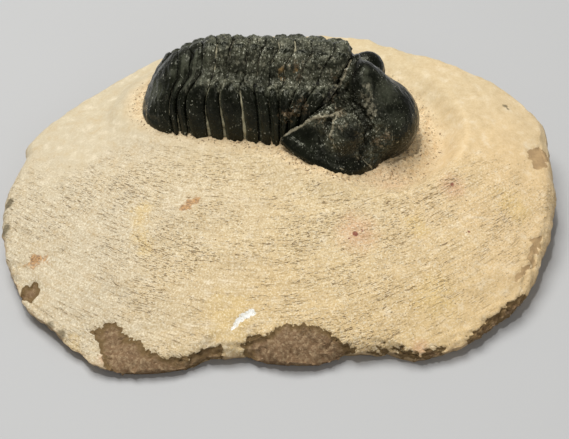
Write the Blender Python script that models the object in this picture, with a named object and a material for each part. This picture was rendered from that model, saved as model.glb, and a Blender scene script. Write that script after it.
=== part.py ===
"""A phacops trilobite lying on the slab of limestone that it was found in.

Units are metres, +Z up. The origin is the middle of the slab's flat underside. +X runs along the
slab's length towards the trilobite's head, and +Y towards the edge behind the trilobite.
The slab is one stone. The trilobite is a head shield, eleven thorax rings and a tail shield.
Shapes are worked out in millimetres and turned into metres when a mesh is made.
"""

import math

import bmesh
import bpy
import numpy as np

MM = 0.001
GAP = 0.34  # clear space between neighbouring plates, and between the plates and the stone

# The slab's rim on plan, anticlockwise from +X
RIM_POINTS = (
    (57.5, -1.5), (57.5, 9.0), (57.0, 17.0), (53.5, 23.5), (47.5, 29.5), (38.5, 35.0), (30.5, 38.0),
    (23.5, 41.5), (18.0, 44.0), (9.0, 45.0), (-2.5, 44.5), (-15.0, 41.5), (-27.0, 36.0),
    (-37.5, 30.0), (-45.0, 24.0), (-49.0, 19.5), (-54.5, 12.0), (-54.0, 8.5), (-57.0, -2.0),
    (-57.5, -7.5), (-56.5, -15.0), (-53.0, -24.5), (-50.5, -29.5), (-45.5, -34.5), (-41.0, -39.0),
    (-36.0, -43.5), (-31.0, -45.5), (-25.5, -45.5), (-19.0, -44.5), (-14.0, -42.0), (-6.5, -41.5),
    (-2.5, -43.5), (8.0, -43.5), (13.0, -41.0), (21.5, -40.5), (27.0, -42.5), (37.0, -38.5),
    (44.0, -32.5), (48.0, -29.0), (53.0, -18.0), (55.0, -12.5),
)
RIM_HEIGHTS = (2.4, 11.5)   # the widest line of the broken edge: at the near side, at the far side
UNDERSIDE_SETBACK = 2.0
# How far in from the rim the worked top face starts, read anticlockwise in degrees from +X
EDGE_SETBACKS = (
    (0, 2.2), (60, 3.5), (120, 3.5), (180, 2.2), (215, 2.2), (229, 3.0), (234, 9.0), (241, 9.5),
    (248, 5.0), (256, 2.2), (262, 2.6), (266, 7.0), (277, 7.5), (283, 3.2), (292, 2.2), (300, 2.4),
    (310, 3.0), (322, 3.0), (330, 2.2), (345, 2.5),
)
SLAB_SPOKES = 96
SLAB_RINGS = (0.12, 0.24, 0.35, 0.45, 0.54, 0.62, 0.70, 0.78, 0.86, 0.93, 1.0)
EDGE_BULGE = ((0.35, 0.16), (0.72, 0.50))   # share of the setback, share of the drop to the rim

# The worked top face falls away from a level crest under the trilobite
BED_HEIGHT = 19.0       # top of the stone under the thorax
CREST_Y = 12.0
FALL_NEAR = (15.5, 56.0, 1.55)   # fall in all, the distance that it takes and its power, to the near edge
FALL_FAR = (4.2, 34.0, 2.0)      # the same to the far edge
FALL_SIDES = (8.0, 57.0, 2.8)    # the same to the left and right
BED_BLEND = 7.0         # distance over which the trilobite's bed runs out into the face
BED_SINK = 0.1          # how far the bed lies under the level that the trilobite is set on
BED_BEND = (1.0, 3.0)   # distance ahead of the neck where the bed starts to fall, and its rounding
RIDGE_START = (-30.0, -3.0)
RIDGE_END = (-57.0, -9.0)
RIDGE_FALL = 0.10       # extra slope of the face behind the ridge left of the tail
RIDGE_ROUND = 2.0
RIDGE_FADE = (-24.0, -40.0)      # the ridge grows from nothing between these places on X
# How far the trilobite reaches to each side of its midline, at even steps from the tail to the head
BODY_SPAN = (-0.06, 1.30)        # shares of the thorax's length
BODY_REACH = (7.0, 10.2, 11.5, 11.8, 11.6, 16.8, 13.8)
BODY_DISCS = 15

# The trilobite's midline on the bed, read at even steps from the back of the thorax to the neck
THORAX_RINGS = 11
MIDLINE_X = (-20.7, 9.2)
MIDLINE_Y = (15.0, 15.4, 14.4, 14.0, 13.3)
YAW_DEG = (2.0, 0.0, -5.0, -11.0, -15.0)     # heading away from +X
LEAN_DEG = (-2.0, -3.0, 0.0, 3.5, 19.0)     # how far each ring's plane leans towards the head
HALF_WIDTH = (9.6, 11.6, 12.0, 12.4, 11.4)
CREST_HEIGHT = (12.3, 15.8, 16.2, 15.2, 16.0)
SWEEP_BACK = (2.0, 2.8, -0.3, 0.5, 4.7)       # how far the tips of a ring trail behind its middle
ARCH_FORWARD = (0.0, 0.5, 1.3, 1.2, 0.3)     # how far the crest of a ring bows towards the head
FAR_LIFT = (0.0, 0.0, 0.08, 0.25, 0.20)      # how much higher the far side stands, growing to its tips

# Cross-section of a ring, from the crest to the tip: share of the half width, share of the height
RING_PROFILE = (
    (0.0, 1.0), (0.10, 0.992), (0.20, 0.955), (0.28, 0.885), (0.34, 0.80), (0.38, 0.715),
    (0.42, 0.688), (0.52, 0.68), (0.62, 0.665), (0.72, 0.625), (0.81, 0.54), (0.89, 0.39),
    (0.955, 0.20), (0.988, 0.08), (1.0, 0.0),
)
# Lengthwise relief of a ring: share of its length, swelling, in millimetres
RING_RELIEF = ((0.0, -0.42), (0.22, 0.12), (0.55, 0.42), (0.82, 0.18), (1.0, -0.42))
NODE = (0.25, 0.07, 0.35)     # the two nodes on each ring: share of the half width, spread, swelling
AXIAL_SHARE = 0.42            # half width of the raised middle lobe, as a share of the ring's
TIP_START = 0.86              # share of the half width where the ring starts to round off
TIP_NARROWING = 0.30          # share of the ring's length lost at its rounded tips

# The tail shield
TAIL_LENGTH = 8.2       # from the thorax to the tail's end, along the bed
TAIL_POWER = 1.25       # how full its outline is from the side: 1 is a straight slope, 2 an ellipse
TAIL_ROUNDING = 1.8     # the same for its outline on plan
TAIL_BEND = 2.4         # how far the tail's end curls to the near side
TAIL_STEPS = 10
TAIL_RIBS = 6
TAIL_RIB_SWELL = 0.2

# The head shield, in its own frame: x forward from the neck, y to its left, z up from the bed
HEAD_PITCH_DEG = LEAN_DEG[-1]
HEAD_CENTRE = (8.5, 0.0, -4.0)    # under the head: every line that marks its surface starts here
HEAD_SPOKES = 76
HEAD_ROWS = 19
HEAD_TOP_DEG = 86.0
UNDERSIDE_RINGS = (0.12, 0.4, 0.7, 0.97)    # rings of the underside, as shares of the way out
MARGIN_THICKNESS = 0.25
MARGIN_STEP = 0.02                # least rise between rows where the margin meets the bed
# Where the head ends behind, at even steps to the side: it trails back to the cheek corners
POSTERIOR_STEP = 3.0
POSTERIOR_EDGE = (0.65, 0.55, 0.15, -1.2, -3.6, -5.3, -5.6)

# The cheeks are one low dome, longest behind its widest line
CHEEK_WIDEST_X = 4.0
CHEEK_HALF_WIDTH = 17.5
CHEEK_FRONT = 16.6
CHEEK_BACK = -9.0
CHEEK_HEIGHT = 5.5
CHEEK_SUNK = 2.0                  # its middle lies this far under the bed
CHEEK_ROUNDNESS = 2.3             # 2 is an ellipsoid, more is boxier
BORDER_GROOVE = (0.87, 0.045, 0.45)      # place on the way out to the margin, width, depth
SHOULDER = ((-0.5, 0.0, 2.0), (7.0, 13.6, 9.4))      # the cheeks' rise to the neck: centre, radii
FIXED_CHEEK = ((3.8, 0.0, 1.0), (7.2, 9.8, 7.6))       # the ground between the glabella and an eye
STEM = ((3.0, 0.0, 8.4), (8.4, 5.0, 6.8))            # the narrow back of the glabella
GLABELLA = ((10.7, 0.0, 2.7), (9.2, 9.2, 8.6))
NECK_RING = ((1.7, 0.0, 8.0), (1.9, 5.0, 7.7))
EYE = ((5.2, 10.5, 4.0), (4.2, 4.0, 5.1))
EYE_CURVE = 0.045                 # how much each eye bends round the head, per millimetre
AXIAL_FURROW = (4.4, 0.42, 11.0)  # distance to the side at the neck, widening, length it widens over
FURROW = (0.7, 0.55)              # width and depth of the furrows beside the glabella
NECK_FURROW = (3.1, 0.65, 0.5)    # distance in front of the head's back edge, width, depth

HEAD_BLACK = (0.020, 0.023, 0.020)
RING_GREY = (0.030, 0.032, 0.027)
TAN_LIMESTONE = (0.62, 0.50, 0.33)


def smooth(edge_low, edge_high, value):
    """A ramp from 0 to 1 with rounded ends between two values."""
    share = np.clip((value - edge_low) / (edge_high - edge_low), 0.0, 1.0)
    return share * share * (3.0 - 2.0 * share)


def along(values, share):
    """A smooth curve through evenly spaced values, read at a share from 0 to 1 of its length."""
    values = np.asarray(values, float)
    place = np.clip(share, 0.0, 1.0) * (len(values) - 1)
    index = np.clip(np.floor(place).astype(int), 0, len(values) - 2)
    before, after = values[np.maximum(index - 1, 0)], values[np.minimum(index + 2, len(values) - 1)]
    start, end = values[index], values[index + 1]
    step = place - index
    rise_in, rise_out = (end - before) / 2.0, (after - start) / 2.0
    square, cube = step**2, step**3
    return (
        start * (2 * cube - 3 * square + 1)
        + rise_in * (cube - 2 * square + step)
        + end * (3 * square - 2 * cube)
        + rise_out * (cube - square)
    )


def rim_radius(angle):
    """Distance from the origin to the slab's rim at an angle on plan, between its listed points."""
    points = np.array(RIM_POINTS)
    marks = np.arctan2(points[:, 1], points[:, 0]) % (2 * math.pi)
    order = np.argsort(marks)
    return np.interp(angle, marks[order], np.hypot(*points[order].T), period=2 * math.pi)


def edge_setback(angle):
    """How far in from the rim the worked face starts, wide where a flake has come off."""
    marks, values = np.array(EDGE_SETBACKS).T
    return np.interp(np.degrees(angle), marks, values, period=360.0)


def rim_height(angle):
    """Height of the edge's widest line: low at the near side and high at the far side."""
    low, high = RIM_HEIGHTS
    return low + (high - low) * smooth(-1.0, 1.0, np.sin(angle))


def midline(share):
    """The body at shares of the thorax: place on the bed, level heading, left, and up in its plane."""
    share = np.asarray(share, float)
    yaw, lean = np.radians(along(YAW_DEG, share)), np.radians(along(LEAN_DEG, share))
    flat = np.zeros_like(share)
    x = MIDLINE_X[0] + (MIDLINE_X[1] - MIDLINE_X[0]) * share
    origin = np.stack([x, along(MIDLINE_Y, share), flat + BED_HEIGHT + GAP], -1)
    ahead = np.stack([np.cos(yaw), np.sin(yaw), flat], -1)
    left = np.stack([-np.sin(yaw), np.cos(yaw), flat], -1)
    up = ahead * np.sin(lean)[..., None] + np.array([0.0, 0.0, 1.0]) * np.cos(lean)[..., None]
    return origin, ahead, left, up


def sweep_shape(side):
    """How the backward sweep grows from none at the axial lobe to all of it at the tip."""
    return smooth(0.30, 1.06, np.abs(side))


def bed_surface(x, y):
    """Height of the stone that the trilobite lies on: level, then falling ahead of the neck."""
    origin, ahead, _, _ = midline(1.0)
    place, rounding = BED_BEND
    distance = (x - origin[0]) * ahead[0] + (y - origin[1]) * ahead[1] - place
    ramp = 0.5 * (distance + np.sqrt(distance**2 + rounding**2))
    return BED_HEIGHT - math.tan(math.radians(HEAD_PITCH_DEG)) * ramp


def distance_to_body(x, y):
    """Distance on plan from the trilobite, taken as discs along its midline; nought inside it."""
    best = np.full(np.shape(x), np.inf)
    for step in np.linspace(0.0, 1.0, BODY_DISCS):
        share = BODY_SPAN[0] + (BODY_SPAN[1] - BODY_SPAN[0]) * step
        inside = min(max(share, 0.0), 1.0)
        origin, ahead, _, _ = midline(inside)
        centre = origin + ahead * (share - inside) * (MIDLINE_X[1] - MIDLINE_X[0])
        clear = np.hypot(x - centre[0], y - centre[1]) - along(BODY_REACH, step)
        best = np.minimum(best, clear)
    return np.maximum(best, 0.0)


def fall(distance, amount_reach_power):
    """How far the face has fallen at a distance from its crest."""
    amount, reach, power = amount_reach_power
    return amount * (np.maximum(distance, 0.0) / reach) ** power


def top_face(x, y):
    """Height of the slab's worked face: falls added up, and the trilobite's bed blended in."""
    face = BED_HEIGHT - fall(CREST_Y - y, FALL_NEAR) - fall(y - CREST_Y, FALL_FAR)
    face = face - fall(np.abs(x), FALL_SIDES)
    (x0, y0), (x1, y1) = RIDGE_START, RIDGE_END
    behind = ((x - x0) * (y1 - y0) - (y - y0) * (x1 - x0)) / math.hypot(x1 - x0, y1 - y0)
    behind = 0.5 * (behind + np.sqrt(behind**2 + RIDGE_ROUND**2))
    face = face - RIDGE_FALL * behind * smooth(*RIDGE_FADE, x)
    bed = 1.0 - smooth(1.0, 1.0 + BED_BLEND, distance_to_body(x, y))
    return face + (bed_surface(x, y) - BED_SINK - face) * bed


def flat_end(mesh, ring):
    """Closes the end of a loft with one face."""
    mesh.faces.new(ring)


def laced_end(mesh, ring):
    """Closes the end of a loft with level strips from each side of the ring to the other."""
    half = len(ring) // 2
    for index in range(half - 1):
        mesh.faces.new((ring[index], ring[index + 1], ring[-2 - index], ring[-1 - index]))
    mesh.faces.new((ring[half - 1], ring[half], ring[half + 1]))


def lofted_solid(name, loops, close_end, material, parent=None):
    """A closed solid through loops of points in millimetres, each loop running all the way round."""
    centre = np.array(parent.location) if parent else np.zeros(3)
    solid = bmesh.new()
    rings = [[solid.verts.new(point) for point in np.asarray(loop) * MM - centre] for loop in loops]
    for low, high in zip(rings, rings[1:]):
        for index in range(len(low)):
            solid.faces.new((low[index - 1], low[index], high[index], high[index - 1]))
    close_end(solid, rings[0])
    close_end(solid, rings[-1])
    bmesh.ops.recalc_face_normals(solid, faces=solid.faces[:])
    mesh = bpy.data.meshes.new(name)
    solid.to_mesh(mesh)
    solid.free()
    mesh.shade_smooth()
    mesh.set_sharp_from_angle(angle=math.radians(40))
    mesh.materials.append(material)
    made = bpy.data.objects.new(name, mesh)
    made.parent = parent
    bpy.context.scene.collection.objects.link(made)
    return made


def stone_slab(material):
    """The slab: rings of points over the top face, down the broken edge and in to the flat base."""
    angles = np.arange(SLAB_SPOKES) * 2 * math.pi / SLAB_SPOKES
    cos, sin = np.cos(angles), np.sin(angles)
    rim, setback, low = rim_radius(angles), edge_setback(angles), rim_height(angles)
    shoulder = rim - setback
    rows = []
    for share in SLAB_RINGS:
        x, y = shoulder * share * cos, shoulder * share * sin
        rows.append(np.stack([x, y, top_face(x, y)], -1))
    edge_top = rows[-1][:, 2]
    for out, drop in EDGE_BULGE:
        radius = shoulder + setback * out
        rows.append(np.stack([radius * cos, radius * sin, edge_top + (low - edge_top) * drop], -1))
    rows.append(np.stack([rim * cos, rim * sin, low], -1))
    base = rim - UNDERSIDE_SETBACK
    rows.append(np.stack([base * cos, base * sin, np.zeros_like(rim)], -1))
    return lofted_solid("matrix_slab", rows, flat_end, material)


def mirrored_profile():
    """The ring's profile from its right tip over the crest to its left tip."""
    half = np.array(RING_PROFILE)
    side = np.concatenate([-half[::-1, 0], half[1:, 0]])
    height = np.concatenate([half[::-1, 1], half[1:, 1]])
    return side, height


def section_points(share, offset, swell):
    """One cross-section of the thorax, moved along the body by an offset and swollen outwards."""
    origin, ahead, left, up = midline(share)
    side, height = mirrored_profile()
    width = along(HALF_WIDTH, share)
    lateral = side * width + np.sign(side) * swell * smooth(0.5, 0.95, np.abs(side))
    back = offset - along(SWEEP_BACK, share) * sweep_shape(lateral / width)
    back = back + along(ARCH_FORWARD, share) * (1.0 - smooth(0.0, AXIAL_SHARE, np.abs(side)))
    rise = height * along(CREST_HEIGHT, share) * (1.0 + along(FAR_LIFT, share) * np.maximum(side, 0.0))
    rise = rise + swell * (1.0 - smooth(0.6, 1.0, np.abs(side)))
    rise = np.where(np.abs(side) > 0.999, 0.0, np.maximum(rise, 0.0))
    return origin + back[:, None] * ahead + lateral[:, None] * left + rise[:, None] * up


def ring_swell(side, relief):
    """Relief across the ring, with two nodes on the axial lobe where the ring is swollen."""
    place, spread, swelling = NODE
    nodes = swelling * np.exp(-(((np.abs(side) - place) / spread) ** 2))
    return relief + nodes * max(relief, 0.0) / RING_RELIEF[2][1]


def thorax_ring(number, material, parent):
    """Ring number 1 is next to the head. Sections run from its back edge to its front edge."""
    side, _ = mirrored_profile()
    narrowing = TIP_NARROWING * smooth(TIP_START, 1.0, np.abs(side))
    rows = []
    for place, relief in RING_RELIEF:
        share = (THORAX_RINGS - number + place + (0.5 - place) * narrowing) / THORAX_RINGS
        trim = {0.0: GAP / 2, 1.0: -GAP / 2}.get(place, 0.0)
        rows.append(section_points(share, trim, ring_swell(side, relief)))
    return lofted_solid(f"thorax_ring_{number:02d}", rows, laced_end, material, parent)


def tail_shield(material, parent):
    """The tail: the thorax's last section shrunk towards its foot line as it goes back."""
    origin, ahead, left, up = midline(0.0)
    side, height = mirrored_profile()
    rows = []
    for step in range(TAIL_STEPS):
        turn = math.radians(90.0) * step / TAIL_STEPS
        back, low = math.sin(turn), math.cos(turn)
        fit = (back**TAIL_POWER + low**TAIL_POWER) ** (-1.0 / TAIL_POWER)
        back, low = back * fit, low * fit
        rib = TAIL_RIB_SWELL * math.sin(math.pi * TAIL_RIBS * step / TAIL_STEPS) ** 2 * low
        rise = height * CREST_HEIGHT[0] * low + rib * smooth(0.02, 0.3, height)
        rise = np.where(np.abs(side) > 0.999, 0.0, rise)
        reach = -TAIL_LENGTH * back - SWEEP_BACK[0] * sweep_shape(side) * (1.0 - back) - GAP / 2
        narrow = (1.0 - back**TAIL_ROUNDING) ** (1.0 / TAIL_ROUNDING)
        lateral = side * HALF_WIDTH[0] * narrow - TAIL_BEND * back**2
        rows.append(
            origin + reach[:, None] * ahead + lateral[:, None] * left + rise[:, None] * up
        )
    return lofted_solid("tail_shield", rows, laced_end, material, parent)


def ellipsoid(point, centre_and_radii):
    """Rough distance to an ellipsoid's surface, below nought inside."""
    centre, radii = np.array(centre_and_radii)
    near = np.linalg.norm((point - centre) / radii, axis=-1)
    steep = np.linalg.norm((point - centre) / radii**2, axis=-1)
    return near * (near - 1.0) / np.maximum(steep, 1e-6)


def blend(first, second, round_by):
    """The union of two shapes with a fillet of about that size where they meet."""
    share = np.clip(0.5 + 0.5 * (second - first) / round_by, 0.0, 1.0)
    return second * (1 - share) + first * share - round_by * share * (1 - share)


def groove(offset, width, depth):
    """A rounded groove of a given width and depth, to be added to a shape."""
    return depth * np.exp(-((offset / width) ** 2))


def cheeks(x, side, z):
    """The broad low dome of the head with its border groove, below nought inside."""
    length = np.where(x > CHEEK_WIDEST_X, CHEEK_FRONT, CHEEK_BACK) - CHEEK_WIDEST_X
    plan = ((x - CHEEK_WIDEST_X) / length) ** CHEEK_ROUNDNESS
    plan = plan + (side / CHEEK_HALF_WIDTH) ** CHEEK_ROUNDNESS
    radius = CHEEK_HEIGHT + CHEEK_SUNK
    level = (np.abs(z + CHEEK_SUNK) / radius) ** CHEEK_ROUNDNESS
    dome = ((plan + level) ** (1.0 / CHEEK_ROUNDNESS) - 1.0) * radius
    place, width, depth = BORDER_GROOVE
    border = groove(plan ** (1.0 / CHEEK_ROUNDNESS) - place, width, depth)
    return dome + border * smooth(CHEEK_HEIGHT, CHEEK_SUNK, z)


def head_field(point):
    """Below nought inside the head: cheeks, shoulders, glabella, neck ring and eyes together."""
    x, y, z = point[..., 0], point[..., 1], point[..., 2]
    side = np.abs(y)
    ground = blend(ellipsoid(point, SHOULDER), ellipsoid(point, FIXED_CHEEK), 1.5)
    shape = blend(cheeks(x, side, z), ground, 1.5)
    shape = blend(shape, blend(ellipsoid(point, GLABELLA), ellipsoid(point, STEM), 1.6), 0.7)
    start, widening, length = AXIAL_FURROW
    beside = side - start - widening * np.clip(x - 1.0, 0.0, length)
    shape = shape + groove(beside, *FURROW) * smooth(14.0, 10.0, x)
    shape = blend(shape, ellipsoid(point, NECK_RING), 0.4)
    edge = along(POSTERIOR_EDGE, side / (POSTERIOR_STEP * (len(POSTERIOR_EDGE) - 1)))
    place, width, depth = NECK_FURROW
    shape = shape + groove(x - edge - place, width, depth) * smooth(14.0, 11.0, side)
    bent = np.stack([x, side + EYE_CURVE * (x - EYE[0][0]) ** 2, z], -1)
    shape = blend(shape, ellipsoid(bent, EYE), 0.9)
    return np.maximum(shape, edge - x)


def head_surface(azimuth, elevation, lift=0.0):
    """Where lines from the head's centre first leave its field, found by halving the interval."""
    level = np.cos(elevation)
    direction = np.stack([np.cos(azimuth) * level, np.sin(azimuth) * level, np.sin(elevation)], -1)
    centre = np.array(HEAD_CENTRE) + (0.0, 0.0, lift)
    low = np.zeros(direction.shape[:-1])
    inside = np.ones(low.shape, bool)
    for step in np.arange(0.5, 30.0, 0.5):
        inside &= head_field(centre + step * direction) < 0.0
        low = np.where(inside, step, low)
    high = low + 0.5
    for _ in range(20):
        middle = 0.5 * (low + high)
        inside = head_field(centre + middle[..., None] * direction) < 0.0
        low, high = np.where(inside, middle, low), np.where(inside, high, middle)
    return centre + high[..., None] * direction


def head_points(spokes, rows):
    """The head's upper surface in its own frame: rows of points from its margin to its top."""
    azimuth = np.arange(spokes) * 2 * math.pi / spokes
    margin = head_surface(azimuth, np.zeros(spokes), -HEAD_CENTRE[2])
    reach = np.hypot(margin[:, 0] - HEAD_CENTRE[0], margin[:, 1])
    lowest = np.arctan2(-HEAD_CENTRE[2], reach)
    share = np.linspace(0.0, 1.0, rows)[:, None]
    elevation = lowest + (math.radians(HEAD_TOP_DEG) - lowest) * share
    return head_surface(np.broadcast_to(azimuth, elevation.shape), elevation)


def head_shield(material, parent):
    """The head shield: rows from its margin to its top, closed below along the bed."""
    origin, _, left, up = midline(1.0)
    frame = np.stack([np.cross(left, up), left, up])
    world = origin + head_points(HEAD_SPOKES, HEAD_ROWS) @ frame
    middle = origin + np.array(HEAD_CENTRE) @ frame
    under = []
    for share in UNDERSIDE_RINGS:
        ring = middle + (world[0] - middle) * share
        ring[:, 2] = bed_surface(ring[:, 0], ring[:, 1]) + GAP
        under.append(ring)
    lowest = bed_surface(world[..., 0], world[..., 1]) + GAP + MARGIN_THICKNESS
    lowest = lowest + MARGIN_STEP * np.arange(HEAD_ROWS)[:, None]
    world[..., 2] = np.maximum(world[..., 2], lowest)
    return lofted_solid("head_shield", [*under, *world], flat_end, material, parent)


def plain_material(name, colour, roughness):
    """A material with one colour and one roughness."""
    made = bpy.data.materials.new(name)
    made.use_nodes = True
    shader = made.node_tree.nodes["Principled BSDF"]
    shader.inputs["Base Color"].default_value = (*colour, 1.0)
    shader.inputs["Roughness"].default_value = roughness
    shader.inputs["Metallic"].default_value = 0.0
    return made


def main():
    for old in list(bpy.data.objects):
        bpy.data.objects.remove(old, do_unlink=True)
    trilobite = bpy.data.objects.new("trilobite", None)
    trilobite.location = (0.0, 0.0, BED_HEIGHT * MM)
    bpy.context.scene.collection.objects.link(trilobite)
    stone_slab(plain_material("limestone", TAN_LIMESTONE, 0.85))
    head_shield(plain_material("head_calcite", HEAD_BLACK, 0.38), trilobite)
    for number in range(1, THORAX_RINGS + 1):
        thorax_ring(number, plain_material(f"ring_{number:02d}_calcite", RING_GREY, 0.42), trilobite)
    tail_shield(plain_material("tail_calcite", HEAD_BLACK, 0.36), trilobite)


main()
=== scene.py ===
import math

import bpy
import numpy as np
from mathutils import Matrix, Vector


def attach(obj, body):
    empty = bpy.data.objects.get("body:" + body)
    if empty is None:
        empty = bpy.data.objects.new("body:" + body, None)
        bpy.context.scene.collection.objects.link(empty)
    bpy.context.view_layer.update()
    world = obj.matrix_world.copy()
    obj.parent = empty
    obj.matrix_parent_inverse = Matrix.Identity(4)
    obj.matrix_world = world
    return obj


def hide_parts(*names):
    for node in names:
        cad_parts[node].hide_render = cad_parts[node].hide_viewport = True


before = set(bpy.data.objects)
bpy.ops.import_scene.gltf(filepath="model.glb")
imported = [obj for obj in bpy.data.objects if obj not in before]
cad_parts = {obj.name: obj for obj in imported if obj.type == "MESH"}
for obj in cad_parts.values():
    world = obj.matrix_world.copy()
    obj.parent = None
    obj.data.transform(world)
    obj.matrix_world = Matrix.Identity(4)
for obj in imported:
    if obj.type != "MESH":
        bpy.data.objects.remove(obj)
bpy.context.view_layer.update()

# A phacops trilobite on its slab of limestone, finished to look like the real fossil.
# Shapes are worked out in millimetres and turned into metres when a mesh is made.
# The fossil lies along +X with its head at the right. The slab's underside is on the floor.

MM = 0.001

# The slab's rim on plan, anticlockwise from +X
RIM_POINTS = (
    (57.5, -1.5), (57.5, 9.0), (57.0, 17.0), (53.5, 23.5), (47.5, 29.5), (38.5, 35.0), (30.5, 38.0),
    (23.5, 41.5), (18.0, 44.0), (9.0, 45.0), (-2.5, 44.5), (-15.0, 41.5), (-27.0, 36.0),
    (-37.5, 30.0), (-45.0, 24.0), (-49.0, 19.5), (-54.5, 12.0), (-54.0, 8.5), (-57.0, -2.0),
    (-57.5, -7.5), (-56.5, -15.0), (-53.0, -24.5), (-50.5, -29.5), (-45.5, -34.5), (-41.0, -39.0),
    (-36.0, -43.5), (-31.0, -45.5), (-25.5, -45.5), (-19.0, -44.5), (-14.0, -42.0), (-6.5, -41.5),
    (-2.5, -43.5), (8.0, -43.5), (13.0, -41.0), (21.5, -40.5), (27.0, -42.5), (37.0, -38.5),
    (44.0, -32.5), (48.0, -29.0), (53.0, -18.0), (55.0, -12.5),
)
RIM_HEIGHTS = (2.4, 11.5)   # the widest line of the broken edge: at the near side, at the far side
UNDERSIDE_SETBACK = 2.0
UNDERSIDE_CURVE = 1.5       # power by which the wall runs in to the underside
RIM_BITES = ((0.10, 3.0, 5), (0.15, 9.0, 6))   # depth, length and seed of the waves bitten out of the rim
EDGE_WANDER = (0.3, 0.4)    # how unevenly the face's border runs, and the edge's widest line
EDGE_NOISE_RADIUS = 50.0    # the circle that these are read on
# How far in from the rim the worked face starts, read anticlockwise in degrees from +X
EDGE_SETBACKS = (
    (0, 2.2), (60, 3.5), (120, 3.5), (180, 2.2), (215, 2.2), (229, 3.0), (234, 9.0), (241, 9.5),
    (248, 5.0), (256, 2.2), (262, 2.6), (266, 7.0), (277, 7.5), (283, 3.2), (292, 2.2), (300, 2.4),
    (310, 3.0), (322, 3.0), (330, 2.2), (345, 2.5),
)
EDGE_BULGE = ((0.0, 0.0), (0.35, 0.16), (0.72, 0.50), (1.0, 1.0))   # share of the setback, of the drop

# The worked top face, which falls away from a level crest under the trilobite
BED_HEIGHT = 19.0       # top of the stone under the thorax
CREST_Y = 12.0
FALL_NEAR = (15.5, 56.0, 1.55)   # fall in all, the distance that it takes and its power, to the near edge
FALL_FAR = (4.2, 34.0, 2.0)      # the same to the far edge
FALL_SIDES = (8.0, 57.0, 2.8)    # the same to the left and right
BED_BLEND = 7.0         # distance over which the trilobite's bed runs out into the face
BED_SINK = 0.1          # how far the bed lies under the level that the trilobite is set on
BED_BEND = (1.0, 3.0)   # distance ahead of the neck where the bed starts to fall, and its rounding
RIDGE_START = (-30.0, -3.0)
RIDGE_END = (-57.0, -9.0)
RIDGE_FALL = 0.10       # extra slope of the face behind the ridge left of the tail
RIDGE_ROUND = 2.0
RIDGE_FADE = (-24.0, -40.0)      # the ridge grows from nothing between these places on X
# How far the trilobite reaches to each side of its midline, at even steps from the tail to the head
BODY_SPAN = (-0.06, 1.30)        # shares of the thorax's length
BODY_REACH = (7.0, 10.2, 11.5, 11.8, 11.6, 16.8, 13.8)
BODY_DISCS = 15

# The stone's fine relief
TOOL_ARC_SHIFT, TOOL_ARC_BEND = 3.0, 0.0085   # the tool's arcs: place of their middle, and their bend
STROKE_STRETCH, STROKE_DEPTH = 0.16, 0.028    # strokes are drawn out along the arcs: less is longer
FACE_SWELL = 0.10
CRUMBS = (0.95, 0.26, 0.7, 0.13)       # size, height, doming and grain of the crumbs at the foot
FLAKES = ((6.5, 0.45, 3.0), (2.1, 0.14, 4.0))   # size, depth and seed of the broken edge's flakes
EDGE_ROUGHNESS = 0.10
RIND_RELIEF = (-0.45, 0.14)            # level of the rind against the stone round it, and its grain
PALE_RIND_DEPTH, CHIP_DEPTH = 0.2, 0.25
BASE_CLEAR = 0.02                      # the relief is kept this far above the flat underside
FACE_START = 0.004                     # share of the way out at which the face's first row lies

# The trilobite's midline, read at even steps from the back of the thorax to the neck
GAP = 0.34              # how far the plates stand clear of the bed
THORAX_RINGS = 11
MIDLINE_X = (-20.7, 9.2)
MIDLINE_Y = (15.0, 15.4, 14.4, 14.0, 13.3)
YAW_DEG = (2.0, 0.0, -5.0, -11.0, -15.0)     # heading away from +X
LEAN_DEG = (-2.0, -3.0, 0.0, 3.5, 19.0)      # how far each ring's plane leans towards the head
HALF_WIDTH = (9.6, 11.6, 12.0, 12.4, 11.4)
CREST_HEIGHT = (12.2, 15.6, 15.9, 15.2, 16.3)
NECK_DROP = 1.3          # how far the front ring's crest rolls down to the neck
SWEEP_BACK = (2.0, 2.8, -0.3, -0.1, 0.6)     # how far the tips of a ring trail behind its middle
ARCH_FORWARD = (0.0, 0.5, 1.3, 1.2, 0.3)     # how far the crest of a ring bows towards the head
FAR_LIFT = (0.0, 0.0, 0.08, 0.27, 0.30)      # how much higher the far side stands, growing to its tips
FLANK_BOW = (0.8, 0.9, 1.2, 1.6, 0.7)        # how far a ring's flank bows back, halfway to its tip
# Cross-section of a ring, at even steps from its crest to its tip: share of the half width, of the height
PROFILE_SIDE = (0.0, 0.10, 0.20, 0.28, 0.34, 0.38, 0.42, 0.52, 0.62, 0.72, 0.81, 0.89, 0.955, 0.988, 1.0)
PROFILE_RISE = (1.0, 0.992, 0.955, 0.885, 0.80, 0.715, 0.688, 0.68, 0.665, 0.625, 0.54, 0.39, 0.20, 0.08, 0.0)
# Swelling of a ring at its joints and between them, at even steps from its crest to its tip
RING_LOWS = (-0.30, -0.30, -0.32, -0.28, -0.16, -0.18, -0.42, -0.75, -0.90, -0.90, -0.80)
RING_HIGHS = (0.22, 0.22, 0.26, 0.26, 0.12, 0.06, 0.12, 0.24, 0.28, 0.24, 0.15)
# The valleys across the lobe are shallower from the first of these shares of the thorax on, and
# start to be so at the second. The third number is what is left of them.
CALM_AXIS = (0.50, 0.30, 0.65)
NODE, NODE_SWELL = (0.24, 0.07), 0.25            # a node on both sides: share of the half width, spread
NEAR_NODE, NEAR_NODE_SWELL = (-0.12, 0.05), 0.30   # a small one on the near side only
PLEURAL_FURROW = (0.62, 0.28, 0.10, 0.10)   # place along the ring, how far it runs back, width, depth
RING_UNEVENNESS = 0.14   # how much one ring's crest stands above or below the next
JOINT_WANDER = 0.20      # how far the joint between two rings strays from an even line
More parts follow.
